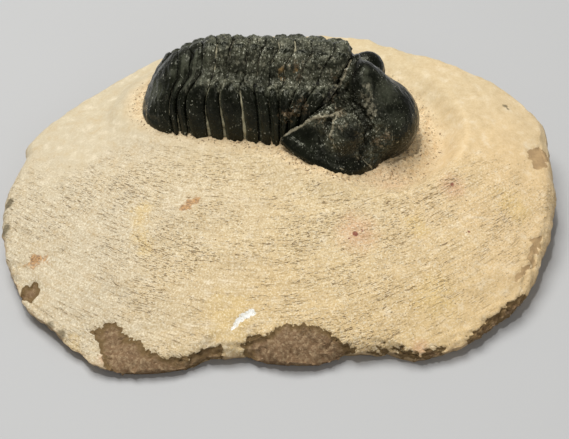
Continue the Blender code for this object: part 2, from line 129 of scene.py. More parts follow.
# How far forward each joint lies on the near flank, where the plates are of uneven width, from the tail
JOINT_SHIFTS = (0.0, -0.6, -0.9, 0.7, 0.4, 1.1, 1.4, 1.8, 1.6, 0.8, 0.0, 0.0)
AXIAL_SHARE = 0.42       # half width of the raised middle lobe, as a share of the ring's
EVEN_POWER = 0.8         # fullness of the plain arch where no middle lobe stands out
TIP_START = 0.90         # share of the half width where the ring starts to round off
TIP_NARROWING = 0.10     # share of the ring's length lost at its rounded tips
REAR_SHARES = (0.33, 0.12)    # the worn lobe gives way to smooth rings between these shares
RING_ROUGHNESS = (0.08, 0.05)   # broad wear, and narrow wear drawn out along the rings
STREAK_PULL = 0.4        # how far it is drawn out: less is longer
LUMP_HEIGHTS = (0.35, 0.25)     # of the raised lumps, and of their roughness
PIT_SIZE, PIT_DEPTH = 0.9, 0.22

# How much pale stone shows in each joint, from the tail to the neck: on the near flank, over the back
FLANK_SEAMS = (1.0, 0.5, 0.3, 0.6, 0.6, 1.0, 0.0, 1.0, 0.2, 0.1, 0.0, 0.0)
BACK_SEAMS = (0.0, 0.1, 0.1, 0.7, 0.3, 0.4, 0.3, 0.45, 0.5, 0.4, 0.1, 0.25)
SEAM_SPREAD = 0.20       # half width of a pale seam, as a share of the distance between joints
CORE_SPAN, CORE_ROWS = (-0.004, 1.03), 300   # shares of the thorax that the filling spans
CORE_SINK, CORE_HIGHEST = 0.25, 0.8          # how far the filling lies under the valleys, and its most rise
NECK_SINK = 3.0          # how much lower the filling lies under the crest at the neck
NO_MARK = -2.0           # a mark's value where there is none of it

# The tail shield
TAIL_LENGTH = 8.2       # from the thorax to the tail's end, along the bed
TAIL_POWER = 1.25       # how full its outline is from the side: 1 is a straight slope, 2 an ellipse
TAIL_ROUNDING = 1.8     # the same for its outline on plan
TAIL_BEND = 2.4         # how far the tail's end curls to the near side
TAIL_END = 0.985        # share of the quarter turn at which its last row lies
TAIL_RIBS = 6
TAIL_RIB_SWELL = 0.16
TAIL_ROUGHNESS = (0.05, 0.008)
TAIL_POLISH = 0.8

# The head shield, in its own frame: x forward from the neck, y to its left, z up from the bed
HEAD_PITCH_DEG = LEAN_DEG[-1]
HEAD_CENTRE = (8.5, 0.0, -4.0)    # under the head: every line that marks its surface starts here
HEAD_TOP_DEG = 88.5               # how steeply its first row of points stands over that place
SEARCH_STEP, SEARCH_REACH, HALVINGS = 0.5, 30.0, 14   # how its surface is looked for along a line
# Where the head ends behind, at even steps to the side: it trails back to the cheek corners
POSTERIOR_STEP = 1.5
POSTERIOR_EDGE = (0.65, 0.62, 0.55, 0.5, 0.4, 0.2, -0.6, -2.0, -3.5, -4.9, -5.9, -6.2, -6.2)
CHEEK_WIDEST_X = 4.0
CHEEK_HALF_WIDTH = 17.5
CHEEK_FRONT = 16.6
CHEEK_BACK = -13.0
CHEEK_HEIGHT = 5.5
CHEEK_SUNK = 2.0                  # its middle lies this far under the bed
CHEEK_ROUNDNESS = 2.3             # 2 is an ellipsoid, more is boxier
BORDER_GROOVE = (0.87, 0.05, 0.16)                   # place on the way out to the margin, width, depth
SHOULDER = ((-0.5, 0.0, 2.0), (7.0, 13.6, 9.4))      # the cheeks' rise to the neck: centre, radii
FIXED_CHEEK = ((3.8, 0.0, 1.0), (7.2, 9.8, 7.6))     # the ground between the glabella and an eye
STEM = ((3.0, 0.0, 8.4), (8.6, 5.2, 6.3))            # the narrow back of the glabella
GLABELLA = ((10.7, 0.0, 2.7), (9.2, 9.2, 8.6))
NECK_RING = ((1.7, 0.0, 8.0), (1.9, 5.0, 7.7))
EYE = ((5.2, 10.5, 4.0), (4.2, 4.0, 5.1))
EYE_CURVE = 0.045                 # how much each eye bends round the head, per millimetre
# Sizes of the fillets where these meet
CHEEK_FILLET, STEM_FILLET, GLABELLA_FILLET, NECK_FILLET, EYE_FILLET = 1.5, 3.2, 0.7, 0.4, 0.9
HEAD_ROUGHNESS = 0.025
EYE_PEBBLES = (0.95, 0.22)        # size, height
# Broken ground on the near side: its middle, the distances where it starts and is full, its strength
BROKEN_GROUND = (((3.2, -8.2, 7.8), 7.0, 3.0, 1.0), ((11.0, -9.0, 4.6), 6.5, 3.0, 0.75))
BROKEN_RELIEF = (0.15, 0.09, 0.30)   # broad roughness, fine roughness, torn cells
LINE_FLATTEN = 0.2                # how much heights count in the distance to a line
# Ridges and grooves on the near side of the head: points in its frame, width, height
CHEEK_RIDGE = (
    (-5.7, -14.6, 0.3), (-4.6, -13.4, 1.9), (-2.9, -12.4, 4.1), (-1.5, -11.6, 6.2), (0.4, -10.8, 7.2),
    (1.9, -9.8, 7.7), (3.0, -8.6, 7.9),
)
EYE_RIDGE = (
    (3.1, -7.6, 8.3), (2.7, -9.8, 8.3), (2.6, -11.6, 7.4), (3.0, -13.4, 5.2), (4.5, -14.2, 3.7),
)
CHEEK_HOLLOW = ((0.2, -8.2, 8.6), (-0.6, -9.8, 7.8), (-1.9, -10.8, 7.0), (-3.4, -11.8, 4.6))
NECK_CRACK = ((-0.2, -6.8, 9.9), (0.5, -6.1, 10.2), (1.5, -5.5, 10.0), (2.4, -4.5, 10.5))
NECK_VEIN = ((0.7, -0.3, 14.0), (0.7, -2.5, 13.6), (0.8, -3.7, 12.4), (0.6, -4.7, 10.1))
HEAD_LINES = (
    (CHEEK_RIDGE, 0.40, 0.40),
    (CHEEK_HOLLOW, 0.55, -0.60),
    (EYE_RIDGE, 0.35, 0.40),
    (((4.6, -7.6, 8.6), (5.6, -9.8, 9.1), (7.0, -11.6, 8.2)), 0.60, 0.25),
    (((1.5, -10.2, 7.9), (1.4, -12.0, 6.8), (1.9, -14.0, 4.6)), 0.55, -0.50),
    (((10.6, -12.4, 2.0), (10.4, -11.0, 3.2), (10.2, -8.9, 4.2), (9.1, -7.8, 6.1), (7.9, -6.7, 7.4),
      (6.7, -5.7, 8.2), (4.7, -5.2, 8.2), (3.4, -5.8, 8.6)), 0.85, -0.60),
    (NECK_CRACK, 0.30, -0.85),
    (NECK_VEIN, 0.40, 0.22),
    (((10.8, -12.9, 1.5), (12.0, -11.6, 1.4), (13.6, -10.4, 1.4)), 0.40, -0.35),
)
# Painted shade in the head's recesses: points in its frame, half width
PAINTED_SHADE_LINES = (
    (((10.8, -12.6, 1.6), (10.6, -11.2, 3.0), (10.2, -9.3, 4.0), (9.4, -8.2, 5.6)), 1.5),
    (((9.1, -7.8, 6.1), (7.6, -6.5, 7.6), (6.2, -5.6, 8.4), (4.7, -5.0, 8.6), (3.6, -4.3, 10.4),
      (2.6, -3.0, 13.4), (1.8, -1.3, 15.3)), 0.8),
    (((1.5, -10.0, 7.9), (1.4, -12.0, 6.8), (1.9, -14.2, 4.6), (3.0, -15.0, 2.8)), 0.9),
    (CHEEK_HOLLOW, 0.9),
    (NECK_CRACK, 0.35),
    (((6.0, -12.6, 6.6), (8.2, -12.4, 5.0), (8.4, -13.4, 3.0), (6.4, -14.4, 2.4)), 1.6),
)
# Pale veins, chips and painted glints on the head: points in its frame, half width
PALE_LINES = (
    (CHEEK_RIDGE, 0.36),
    (EYE_RIDGE, 0.30),
    (NECK_VEIN, 0.30),
    (((9.9, -12.8, 2.2), (10.8, -12.7, 1.4)), 0.20),
    (((11.2, -12.0, 1.6), (12.4, -12.2, 1.0), (13.6, -11.7, 0.5)), 0.20),
    (((7.4, -16.2, 0.8), (8.4, -16.0, 0.6)), 0.11),
    # The next seven short streaks are painted glints on the glabella's near side.
    (((11.6, -7.7, 7.6), (11.3, -8.1, 6.3)), 0.11),
    (((12.8, -7.0, 8.3), (13.1, -7.5, 6.9)), 0.10),
    (((13.6, -7.2, 7.4), (13.8, -7.6, 6.5)), 0.10),
    (((14.4, -7.0, 7.0), (15.0, -7.4, 5.6)), 0.11),
    (((13.0, -8.4, 5.6), (13.8, -8.0, 5.3)), 0.09),
    (((16.5, -6.6, 5.3), (15.8, -7.3, 4.2)), 0.09),
    (((12.9, -8.9, 4.1), (13.9, -8.5, 3.9)), 0.09),
    (((8.2, -9.2, 6.6), (9.0, -9.6, 5.4)), 0.14),
    (((5.6, -11.6, 6.8), (6.6, -11.4, 6.9)), 0.15),
)
AXIAL_FURROW = (4.4, 0.42, 11.0)  # distance to the side at the neck, widening, length it widens over
FURROW = (0.7, 0.55)              # width and depth of the furrows beside the glabella
NECK_FURROW = (2.6, 0.8, 0.28)    # distance in front of the head's back edge, width, depth

# How finely each piece is drawn: points round it, points across it
SLAB_SPOKES, SLAB_FACE_ROWS, SLAB_EDGE_ROWS, SLAB_WALL_ROWS = 720, 104, 18, 10
HEAD_SPOKES, HEAD_ROWS = 420, 190
RING_POINTS, RING_ROWS = 280, 26
TAIL_ROWS = 80
SKIRT = 0.9          # how far the plates run down into the stone
SEAM = 0.10          # the crack left between neighbouring plates
SHARP_EDGE_DEG = 55  # folds sharper than this aren't smoothed over
WAVE_COUNT = 18      # waves added up in one swell
ROUGH_FADE = 0.55    # height of each finer swell against the last

# Bare rind left on the broken edge, and paler rind on the face: outlines on plan
RIND_PATCHES = (
    ((-36.9, -36.6), (-34.7, -36.0), (-32.6, -34.7), (-30.8, -36.2), (-29.3, -38.5), (-27.0, -39.3),
     (-26.0, -41.4), (-21.6, -43.0), (-17.5, -42.4), (-14.1, -40.6), (-11.0, -40.4), (-12.0, -48.0),
     (-30.0, -50.0), (-33.4, -44.5), (-34.8, -41.0), (-34.9, -39.0)),
    ((-7.4, -40.8), (-5.6, -38.8), (-2.1, -38.7), (0.4, -36.6), (4.0, -36.7), (7.2, -36.8),
     (9.6, -38.0), (11.4, -39.4), (14.2, -40.3), (13.0, -46.0), (-2.0, -47.0)),
    ((17.2, -40.7), (20.0, -39.9), (23.4, -40.6), (26.9, -41.7), (28.9, -40.3), (31.9, -40.0),
     (30.0, -46.0), (18.0, -46.0)),
    ((36.2, -37.9), (38.2, -35.9), (40.6, -33.7), (43.4, -31.1), (46.6, -28.4), (48.9, -26.8),
     (52.0, -32.0), (40.0, -43.0)),
    ((-49.8, -24.6), (-48.6, -24.2), (-47.5, -26.6), (-48.4, -28.4), (-51.6, -28.6), (-51.2, -25.6)),
)
PALE_RIND_PATCHES = (
    ((51.7, 5.6), (52.3, 7.6), (54.4, 8.9), (56.4, 8.8), (56.8, 6.6), (55.2, 3.4), (52.9, 2.6)),
    ((51.0, -14.6), (52.9, -13.7), (52.9, -16.0), (51.6, -17.6), (51.2, -20.0), (49.2, -22.4),
     (46.9, -24.9), (46.6, -23.9), (49.2, -21.0), (50.2, -18.0)),
)
WHITE_CHIP = (
    (-4.9, -33.8), (-4.9, -34.8), (-6.0, -35.4), (-7.4, -36.2), (-8.5, -37.1), (-9.6, -37.9),
    (-9.5, -37.0), (-8.5, -35.6), (-7.1, -34.3), (-5.9, -33.7),
)
# Stains of the stone by colour: place on plan, radius
STONE_STAINS = {
    "rust": (
        (-18.3, -11.5, 1.5), (-19.4, -12.3, 1.1), (-16.8, -11.0, 1.0), (-48.6, -20.1, 2.0),
        (-47.2, -20.5, 1.4),
    ),
    "red": (
        (14.8, -18.3, 0.8), (16.2, -17.5, 0.4), (34.9, -5.4, 0.75), (13.6, -19.3, 0.4),
        (37.6, -16.0, 0.5),
    ),
    "pink": (
        (15.2, -17.8, 6.0), (34.9, -6.0, 4.0), (22.0, -2.0, 7.0), (-33.8, -42.4, 1.8),
        (27.0, -40.6, 2.5),
    ),
    "yellow": (
        (27.5, -15.6, 3.5), (-28.0, -12.0, 3.5), (-27.5, -18.0, 3.0), (-10.0, -35.0, 7.0),
        (47.0, -8.0, 5.0), (-28.5, -14.5, 3.0), (-27.0, -21.0, 2.5), (30.0, -30.0, 6.0),
        (-41.0, -39.5, 3.0),
    ),
    "grey": (
        (-56.0, -4.8, 1.4), (-56.4, -10.8, 1.6), (-45.3, -34.7, 1.6), (-42.7, -36.9, 1.4),
        (48.2, 19.9, 0.8), (48.8, 19.1, 0.7),
    ),
}

# Raised lumps on the rings, then the fossil's marks: place, radius
LUMPS = ((1.6, 3.2, 25.6, 1.7), (3.2, 3.9, 26.2, 1.8), (4.8, 4.4, 26.8, 1.6))
FOSSIL_STAINS_AND_SHEEN = {
    "worn": (
        (17.3, 7.6, 29.6, 1.0), (17.8, 7.2, 28.4, 1.3), (17.6, 6.6, 27.2, 1.7), (17.4, 6.0, 26.0, 1.7),
        (18.2, 5.2, 25.2, 1.5), (18.9, 4.0, 24.3, 1.1),
    ),
    "brown": (
        (3.2, 9.9, 32.3, 1.5), (3.4, 8.8, 31.0, 1.2), (1.4, 3.2, 25.4, 1.9), (3.0, 3.9, 26.2, 2.0),
        (4.6, 4.4, 26.8, 1.7), (12.0, 3.2, 25.8, 1.8), (12.6, 0.4, 24.8, 1.6), (14.0, -0.8, 23.6, 1.2),
        (19.5, 1.7, 20.1, 1.6), (21.6, 2.0, 20.6, 1.6), (10.4, 5.6, 27.6, 1.5), (11.2, 8.2, 30.8, 1.3),
        (-5.8, 4.0, 21.6, 1.3), (-1.2, 5.4, 23.0, 1.3), (8.0, 1.8, 25.6, 1.4),
    ),
    "orange": ((0.3, 9.9, 31.7, 1.1), (0.2, 9.0, 30.8, 1.0), (3.3, 9.6, 31.8, 0.7)),
    # soft: painted sheen, lighter patches on the head, tail and rear rings
    "soft": (
        (17.4, 9.9, 31.7, 1.6), (17.3, 8.1, 30.6, 1.6), (17.8, 7.2, 28.7, 1.8), (-25.4, 11.4, 24.8, 3.8),
        (21.5, 8.5, 27.5, 4.5), (23.5, 5.0, 22.5, 3.0), (16.5, 19.0, 30.0, 2.5), (-22.0, 11.8, 29.6, 1.6),
        (-19.0, 11.8, 31.4, 1.6), (-16.2, 11.2, 32.0, 1.5),
    ),
}

CAMERA_ELEVATION_DEG = 44.0
CAMERA_DISTANCE = 0.330
CAMERA_LENS = 104.0
CAMERA_TARGET = (0.00085, -0.01326, 0.012)
# The lights: name, place in metres, diameter, power
LIGHTS = (
    ("key", (-0.20, 0.25, 0.78), 0.55, 5.7),
    ("front", (0.25, -0.70, 0.55), 0.50, 1.0),
    ("glint", (-0.10, -0.10, 0.90), 0.04, 2.1),
)
LIGHTS_AIM = (0.0, 0.0, 0.01)
SKY_STRENGTH = 0.22
FLOOR_REACH = 3.0


def smooth(edge_low, edge_high, value):
    """A ramp from 0 to 1 with rounded ends between two values."""
    share = np.clip((value - edge_low) / (edge_high - edge_low), 0.0, 1.0)
    return share * share * (3.0 - 2.0 * share)


def bell(offset, width):
    """1 where there is no offset, falling away on both sides as a bell curve of a width."""
    return np.exp(-((offset / width) ** 2))


def along(values, share):
    """A smooth curve through evenly spaced values, read at a share from 0 to 1 of its length."""
    values = np.asarray(values, float)
    place = np.clip(share, 0.0, 1.0) * (len(values) - 1)
    index = np.clip(np.floor(place).astype(int), 0, len(values) - 2)
    before, after = values[np.maximum(index - 1, 0)], values[np.minimum(index + 2, len(values) - 1)]
    start, end = values[index], values[index + 1]
    step = place - index
    rise_in, rise_out = (end - before) / 2.0, (after - start) / 2.0
    square, cube = step**2, step**3
    return (
        start * (2 * cube - 3 * square + 1)
        + rise_in * (cube - 2 * square + step)
        + end * (3 * square - 2 * cube)
        + rise_out * (cube - square)
    )


def waves(points, length, seed):
    """Random swell, about -2 to 2: sine waves of near one length crossing in all directions, added."""
    random = np.random.default_rng(seed)
    ways = random.normal(size=(WAVE_COUNT, 3))
    ways /= np.linalg.norm(ways, axis=1, keepdims=True)
    ways *= 2 * math.pi / length * random.uniform(0.7, 1.4, (WAVE_COUNT, 1))
    phases = random.uniform(0.0, 2 * math.pi, WAVE_COUNT)
    swell = sum(np.sin(points @ way + phase) for way, phase in zip(ways, phases))
    return swell * math.sqrt(2 / WAVE_COUNT)


def rough(points, length, seed, octaves=3):
    """Waves added up, each half as long as the last and a little over half as high."""
    return sum(
        ROUGH_FADE**step * waves(points, length * 0.5**step, seed + step) for step in range(octaves)
    )


def cells(points, size, seed):
    """Distance, in cell sizes, to the nearest of centres scattered one to each cube."""
    mixing = np.array([[127.1, 269.5, 113.5], [311.7, 183.3, 271.9], [74.7, 246.1, 124.6]])
    scaled = points / size
    home = np.floor(scaled)
    near = np.full(points.shape[:-1], 9.0)
    for step in np.ndindex(3, 3, 3):
        cube = home + np.array(step) - 1.0
        centre = cube + (np.sin(cube @ mixing + seed) * 4375.85) % 1.0
        near = np.minimum(near, np.linalg.norm(centre - scaled, axis=-1))
    return near


def outward(grid):
    """Unit normals of a grid that closes along its columns: the cross product of its tangents."""
    down = np.gradient(grid, axis=0)
    round_it = np.roll(grid, -1, axis=1) - np.roll(grid, 1, axis=1)
    normal = np.cross(down, round_it)
    return normal / np.maximum(np.linalg.norm(normal, axis=-1, keepdims=True), 1e-9)


def spot_depth(place, spots):
    """How deep each point lies inside the nearest spot: 1 at its middle, 0 at its rim, less outside."""
    depth = np.full(place.shape[:-1], -9.0)
    for *centre, radius in spots:
        depth = np.maximum(depth, 1.0 - np.linalg.norm(place - np.array(centre), axis=-1) / radius)
    return depth


def outline_depth(x, y, outline):
    """Distance to a closed outline on plan, above nought inside it and below nought outside."""
    corners = np.array(outline)
    gap = np.full(x.shape, 99.0)
    inside = np.zeros(x.shape, bool)
    for (x0, y0), (x1, y1) in zip(corners, np.roll(corners, -1, axis=0)):
        run, rise = x1 - x0, y1 - y0
        share = np.clip(((x - x0) * run + (y - y0) * rise) / (run**2 + rise**2), 0.0, 1.0)
        gap = np.minimum(gap, np.hypot(x - x0 - share * run, y - y0 - share * rise))
        crosses = (y0 > y) != (y1 > y)
        inside ^= crosses & (x < x0 + (y - y0) * run / (rise if rise else 1e-9))
    return np.where(inside, gap, -gap)


def closed_piece(name, grid, material, marks):
    """A closed mesh through a grid of points: rows joined all the way round, end rows closed by fans."""
    rows, columns = grid.shape[:2]
    number = np.arange(rows * columns).reshape(rows, columns)
    beside = np.roll(number, -1, axis=1)
    quads = np.stack([number[:-1], number[1:], beside[1:], beside[:-1]], -1).reshape(-1, 4)
    first, last = rows * columns, rows * columns + 1
    start = np.stack([np.full(columns, first), number[0], beside[0]], -1)
    end = np.stack([np.full(columns, last), beside[-1], number[-1]], -1)
    corners = np.concatenate([quads.ravel(), start.ravel(), end.ravel()])
    starts = np.concatenate([np.arange(len(quads)) * 4, len(quads) * 4 + np.arange(2 * columns) * 3])
    points = np.concatenate([grid.reshape(-1, 3), [grid[0].mean(0)], [grid[-1].mean(0)]])
    mesh = bpy.data.meshes.new(name)
    mesh.vertices.add(len(points))
    mesh.vertices.foreach_set("co", (points * MM).ravel())
    mesh.loops.add(len(corners))
    mesh.loops.foreach_set("vertex_index", corners)
    mesh.polygons.add(len(starts))
    mesh.polygons.foreach_set("loop_start", starts)
    mesh.update(calc_edges=True)
    mesh.validate()
    for mark, values in marks.items():
        whole = np.concatenate([values.ravel(), [values[0].mean()], [values[-1].mean()]])
        mesh.attributes.new(mark, "FLOAT", "POINT").data.foreach_set("value", whole.astype(np.float32))
    mesh.shade_smooth()
    mesh.set_sharp_from_angle(angle=math.radians(SHARP_EDGE_DEG))
    mesh.materials.append(material)
    made = bpy.data.objects.new(name, mesh)
    bpy.context.scene.collection.objects.link(made)
    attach(made, "root")
    return made


# The slab

def rim_radius(angle):
    """Distance from the origin to the slab's rim at an angle on plan, between its listed points."""
    points = np.array(RIM_POINTS)
    marks = np.arctan2(points[:, 1], points[:, 0]) % (2 * math.pi)
    order = np.argsort(marks)
    return np.interp(angle, marks[order], np.hypot(*points[order].T), period=2 * math.pi)


def edge_setback(angle):
    """How far in from the rim the worked face starts, wide where a flake has come off."""
    marks, values = np.array(EDGE_SETBACKS).T
    return np.interp(np.degrees(angle), marks, values, period=360.0)


def rim_height(angle):
    """Height of the edge's widest line: low at the near side and high at the far side."""
    low, high = RIM_HEIGHTS
    return low + (high - low) * smooth(-1.0, 1.0, np.sin(angle))


def midline(share):
    """The body at shares of the thorax: place on the bed, level heading, left, and up in its plane."""
    share = np.asarray(share, float)
    yaw, lean = np.radians(along(YAW_DEG, share)), np.radians(along(LEAN_DEG, share))
    flat = np.zeros_like(share)
    x = MIDLINE_X[0] + (MIDLINE_X[1] - MIDLINE_X[0]) * share
    origin = np.stack([x, along(MIDLINE_Y, share), flat + BED_HEIGHT + GAP], -1)
    ahead = np.stack([np.cos(yaw), np.sin(yaw), flat], -1)
    left = np.stack([-np.sin(yaw), np.cos(yaw), flat], -1)
    up = ahead * np.sin(lean)[..., None] + np.array([0.0, 0.0, 1.0]) * np.cos(lean)[..., None]
    return origin, ahead, left, up


def bed_surface(x, y):
    """Height of the stone that the trilobite lies on: level, then falling ahead of the neck."""
    origin, ahead, _, _ = midline(1.0)
    place, rounding = BED_BEND
    distance = (x - origin[0]) * ahead[0] + (y - origin[1]) * ahead[1] - place
    ramp = 0.5 * (distance + np.sqrt(distance**2 + rounding**2))
    return BED_HEIGHT - math.tan(math.radians(HEAD_PITCH_DEG)) * ramp


def distance_to_body(x, y):
    """Distance on plan from the trilobite, taken as discs along its midline; nought inside it."""
    best = np.full(np.shape(x), np.inf)
    for step in np.linspace(0.0, 1.0, BODY_DISCS):
        share = BODY_SPAN[0] + (BODY_SPAN[1] - BODY_SPAN[0]) * step
        inside = min(max(share, 0.0), 1.0)
        origin, ahead, _, _ = midline(inside)
        centre = origin + ahead * (share - inside) * (MIDLINE_X[1] - MIDLINE_X[0])
        clear = np.hypot(x - centre[0], y - centre[1]) - along(BODY_REACH, step)
        best = np.minimum(best, clear)
    return np.maximum(best, 0.0)


def fall(distance, amount_reach_power):
    """How far the face has fallen at a distance from its crest."""
    amount, reach, power = amount_reach_power
    return amount * (np.maximum(distance, 0.0) / reach) ** power


def top_face(x, y):
    """Height of the slab's worked face: falls added up, and the trilobite's bed blended in."""
    face = BED_HEIGHT - fall(CREST_Y - y, FALL_NEAR) - fall(y - CREST_Y, FALL_FAR)
    face = face - fall(np.abs(x), FALL_SIDES)
    (x0, y0), (x1, y1) = RIDGE_START, RIDGE_END
    behind = ((x - x0) * (y1 - y0) - (y - y0) * (x1 - x0)) / math.hypot(x1 - x0, y1 - y0)
    behind = 0.5 * (behind + np.sqrt(behind**2 + RIDGE_ROUND**2))
    face = face - RIDGE_FALL * behind * smooth(*RIDGE_FADE, x)
    bed = 1.0 - smooth(1.0, 1.0 + BED_BLEND, distance_to_body(x, y))
    return face + (bed_surface(x, y) - BED_SINK - face) * bed


def slab_rows():
    """The plain slab: rows over the top face, down the broken edge and in to the flat base."""
    angles = np.arange(SLAB_SPOKES) * 2 * math.pi / SLAB_SPOKES
    cos, sin = np.cos(angles), np.sin(angles)
    circle = np.stack([cos, sin, np.zeros_like(cos)], -1) * EDGE_NOISE_RADIUS
    rim = rim_radius(angles)
    for depth, length, seed in RIM_BITES:
        rim = rim - depth * np.abs(waves(circle, length, seed))
    setback = edge_setback(angles) + EDGE_WANDER[0] * waves(circle, 7.0, 7)
    low = rim_height(angles) + EDGE_WANDER[1] * waves(circle, 8.0, 8)
    shoulder = rim - setback
    face = np.linspace(FACE_START, 1.0, SLAB_FACE_ROWS)[:, None]
    x, y = shoulder * face * cos, shoulder * face * sin
    top = np.stack([x, y, top_face(x, y)], -1)
    out = np.linspace(0.0, 1.0, SLAB_EDGE_ROWS + 1)[1:, None]
    drop = np.interp(out, *np.array(EDGE_BULGE).T)
    radius = shoulder + setback * out
    height = top[-1][:, 2] + (low - top[-1][:, 2]) * drop
    edge = np.stack([radius * cos, radius * sin, height], -1)
    down = np.linspace(0.0, 1.0, SLAB_WALL_ROWS + 1)[1:, None]
    radius = rim - UNDERSIDE_SETBACK * down**UNDERSIDE_CURVE
    wall = np.stack([radius * cos, radius * sin, low * (1.0 - down)], -1)
    edge_depth = np.concatenate([np.zeros_like(face), out, 1.0 + down])
    return np.concatenate([top, edge, wall]), np.broadcast_to(edge_depth, (len(edge_depth), SLAB_SPOKES))


def deepest(x, y, outlines):
    """Depth inside the outline that each point lies deepest in, below nought outside them all."""
    return np.max([outline_depth(x, y, outline) for outline in outlines], axis=0)


def face_relief(grid, edge_depth, foot):
    """Relief of the worked face: a low swell, tool strokes along their arcs, and crumbs at the foot."""
    x, y = grid[..., 0], grid[..., 1]
    face = smooth(0.35, 0.0, edge_depth)
    arcs = np.stack([x * STROKE_STRETCH, y - TOOL_ARC_BEND * (x + TOOL_ARC_SHIFT) ** 2, 0.0 * x], -1)
    strokes = waves(arcs, 1.1, 11) * (0.45 + 0.3 * waves(grid, 14.0, 12))
    relief = FACE_SWELL * rough(grid, 11.0, 21) * face + STROKE_DEPTH * strokes * face
    size, height, doming, grain = CRUMBS
    crumbs = height - doming * cells(grid, size, 7.0) ** 2 + grain * rough(grid, 1.6, 23)
    return relief + foot * crumbs * face


def edge_relief(grid, edge_depth):
    """Relief of the broken edge: hollow flakes of two sizes and roughness, fainter at the far side."""
    broken = smooth(0.05, 0.45, edge_depth) * smooth(2.0, 1.7, edge_depth)
    broken = broken * (0.35 + 0.65 * smooth(-5.0, -30.0, grid[..., 1]))
    flakes = sum(depth * (cells(grid, size, seed) ** 2 - 0.5) for size, depth, seed in FLAKES)
    return broken * (flakes + EDGE_ROUGHNESS * rough(grid, 3.0, 25))


def stone_slab(material):
    """The slab with its relief added along its normals, and its rind, chip and stains marked."""
    grid, edge_depth = slab_rows()
    x, y = grid[..., 0], grid[..., 1]
    rind = deepest(x, y, RIND_PATCHES) + 0.22 * rough(grid, 1.8, 31)
    pale_rind = deepest(x, y, PALE_RIND_PATCHES) + 0.25 * rough(grid, 1.8, 33)
    chip = outline_depth(x, y, WHITE_CHIP)
    foot = smooth(4.5, 0.2, distance_to_body(x, y))
    relief = face_relief(grid, edge_depth, foot) + edge_relief(grid, edge_depth)
    level, grain = RIND_RELIEF
    sunk = level + grain * rough(grid, 1.3, 27)
    relief = relief + smooth(-0.25, 0.35, rind) * sunk * smooth(2.0, 1.6, edge_depth)
    relief = relief - PALE_RIND_DEPTH * smooth(-0.2, 0.3, pale_rind) - CHIP_DEPTH * smooth(-0.2, 0.3, chip)
    shaped = grid + outward(grid) * relief[..., None]
    shaped[..., 2] = np.where(edge_depth > 1.999, 0.0, np.maximum(shaped[..., 2], BASE_CLEAR))
    marks = {
        "rind": np.clip(rind, -4.0, 4.0),
        "pale_rind": np.clip(pale_rind, -4.0, 4.0),
        "chip": np.clip(chip, -2.0, 2.0),
        "edge": edge_depth,
        "foot": foot,
    }
    plan = np.stack([x, y], -1)
    marks.update({mark: spot_depth(plan, spots) for mark, spots in STONE_STAINS.items()})
    slab = closed_piece("limestone_slab", shaped, material, marks)
    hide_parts("matrix_slab")


# The thorax and the tail

def sweep(side, share):
    """How far back a section lies beside its midline: a growing sweep and a bow halfway down the flank."""
    bow = along(FLANK_BOW, share) * np.sin(math.pi * np.clip(2.0 * np.abs(side) - 1.0, 0.0, 1.0))
    return along(SWEEP_BACK, share) * smooth(0.30, 1.06, np.abs(side)) + bow


def ring_profile(count):
    """The smooth profile of a ring from its right tip over the crest to its left tip."""
    place = np.linspace(-1.0, 1.0, count)
    side = np.sign(place) * along(PROFILE_SIDE, np.abs(place))
    return side, along(PROFILE_RISE, np.abs(place))


def even_arch(side):
    """The plain arch of the near side's rear rings and the tail: 1 less the side squared, to a power."""
    return (1.0 - np.minimum(np.abs(side), 1.0) ** 2) ** EVEN_POWER


def section_points(side, height, share, offset, swell):
    """Points of the thorax's cross-sections, moved along the body by an offset and swollen outwards."""
    share = np.broadcast_to(share, np.broadcast(side, share).shape)
    origin, ahead, left, up = midline(share)
    width = along(HALF_WIDTH, share)
    lateral = side * width + np.sign(side) * swell * smooth(0.5, 0.95, np.abs(side))
    back = offset - sweep(lateral / width, share)
    back = back + along(ARCH_FORWARD, share) * (1.0 - smooth(0.0, AXIAL_SHARE, np.abs(side)))
    plainness = smooth(0.1, -0.1, side)
    height = height + (even_arch(side) - height) * smooth(0.45, 0.05, share) * plainness
    rise = height * along(CREST_HEIGHT, share) * (1.0 + along(FAR_LIFT, share) * np.maximum(side, 0.0))
    rise = rise + swell * (1.0 - smooth(0.6, 1.0, np.abs(side)))
    rise = np.maximum(rise, 0.0)
    return origin + back[..., None] * ahead + lateral[..., None] * left + rise[..., None] * up


def ring_relief(place, across, share):
    """Swell of a ring from its back edge to its front: a half round between a low and a high value."""
    arch = np.sqrt(np.clip(1.0 - np.abs(2.0 * place - 1.0) ** 2.2, 0.0, 1.0))
    start, end, strength = CALM_AXIS
    calm = 1.0 - (1.0 - strength) * smooth(end, start, share) * smooth(0.45, 0.30, across)
    low, high = along(RING_LOWS, across), along(RING_HIGHS, across)
    return high + (low * calm - high) * (1.0 - arch)


def with_skirt(grid):
    """Runs both feet of each section straight down into the stone."""
    drop = np.array([0.0, 0.0, SKIRT])
    return np.concatenate([grid[:, :1] - drop, grid, grid[:, -1:] - drop], axis=1)


def edge_columns(marks):
    """Marks for a grid that has had a skirt added at both sides."""
    return np.concatenate([marks[:, :1], marks, marks[:, -1:]], axis=1)


def worn_section(plain, wear, across):
    """Sections moved out along their normals by their wear, which fades at the feet, with a skirt."""
    return with_skirt(plain + outward(plain) * (wear * smooth(1.0, 0.93, across))[..., None])


def fossil_marks(grid, polish):
    """Where the shell is worn to its pale core, stained, smooth and black, or lightened by painted sheen; no
    veins and no painted shade.
    """
    none = np.full(grid.shape[:2], NO_MARK)
    marks = {mark: spot_depth(grid, spots) for mark, spots in FOSSIL_STAINS_AND_SHEEN.items()}
    return {**marks, "polish": polish, "pale": none, "painted_shade": none}


def neck_drop(share, across):
    """How far the front ring's crest rolls down to the neck: a smooth ramp over the ring's front half."""
    place = (share - 1.0) * THORAX_RINGS + 1.0
    return NECK_DROP * smooth(0.35, 1.0, place) ** 1.5 * smooth(0.48, 0.36, across)


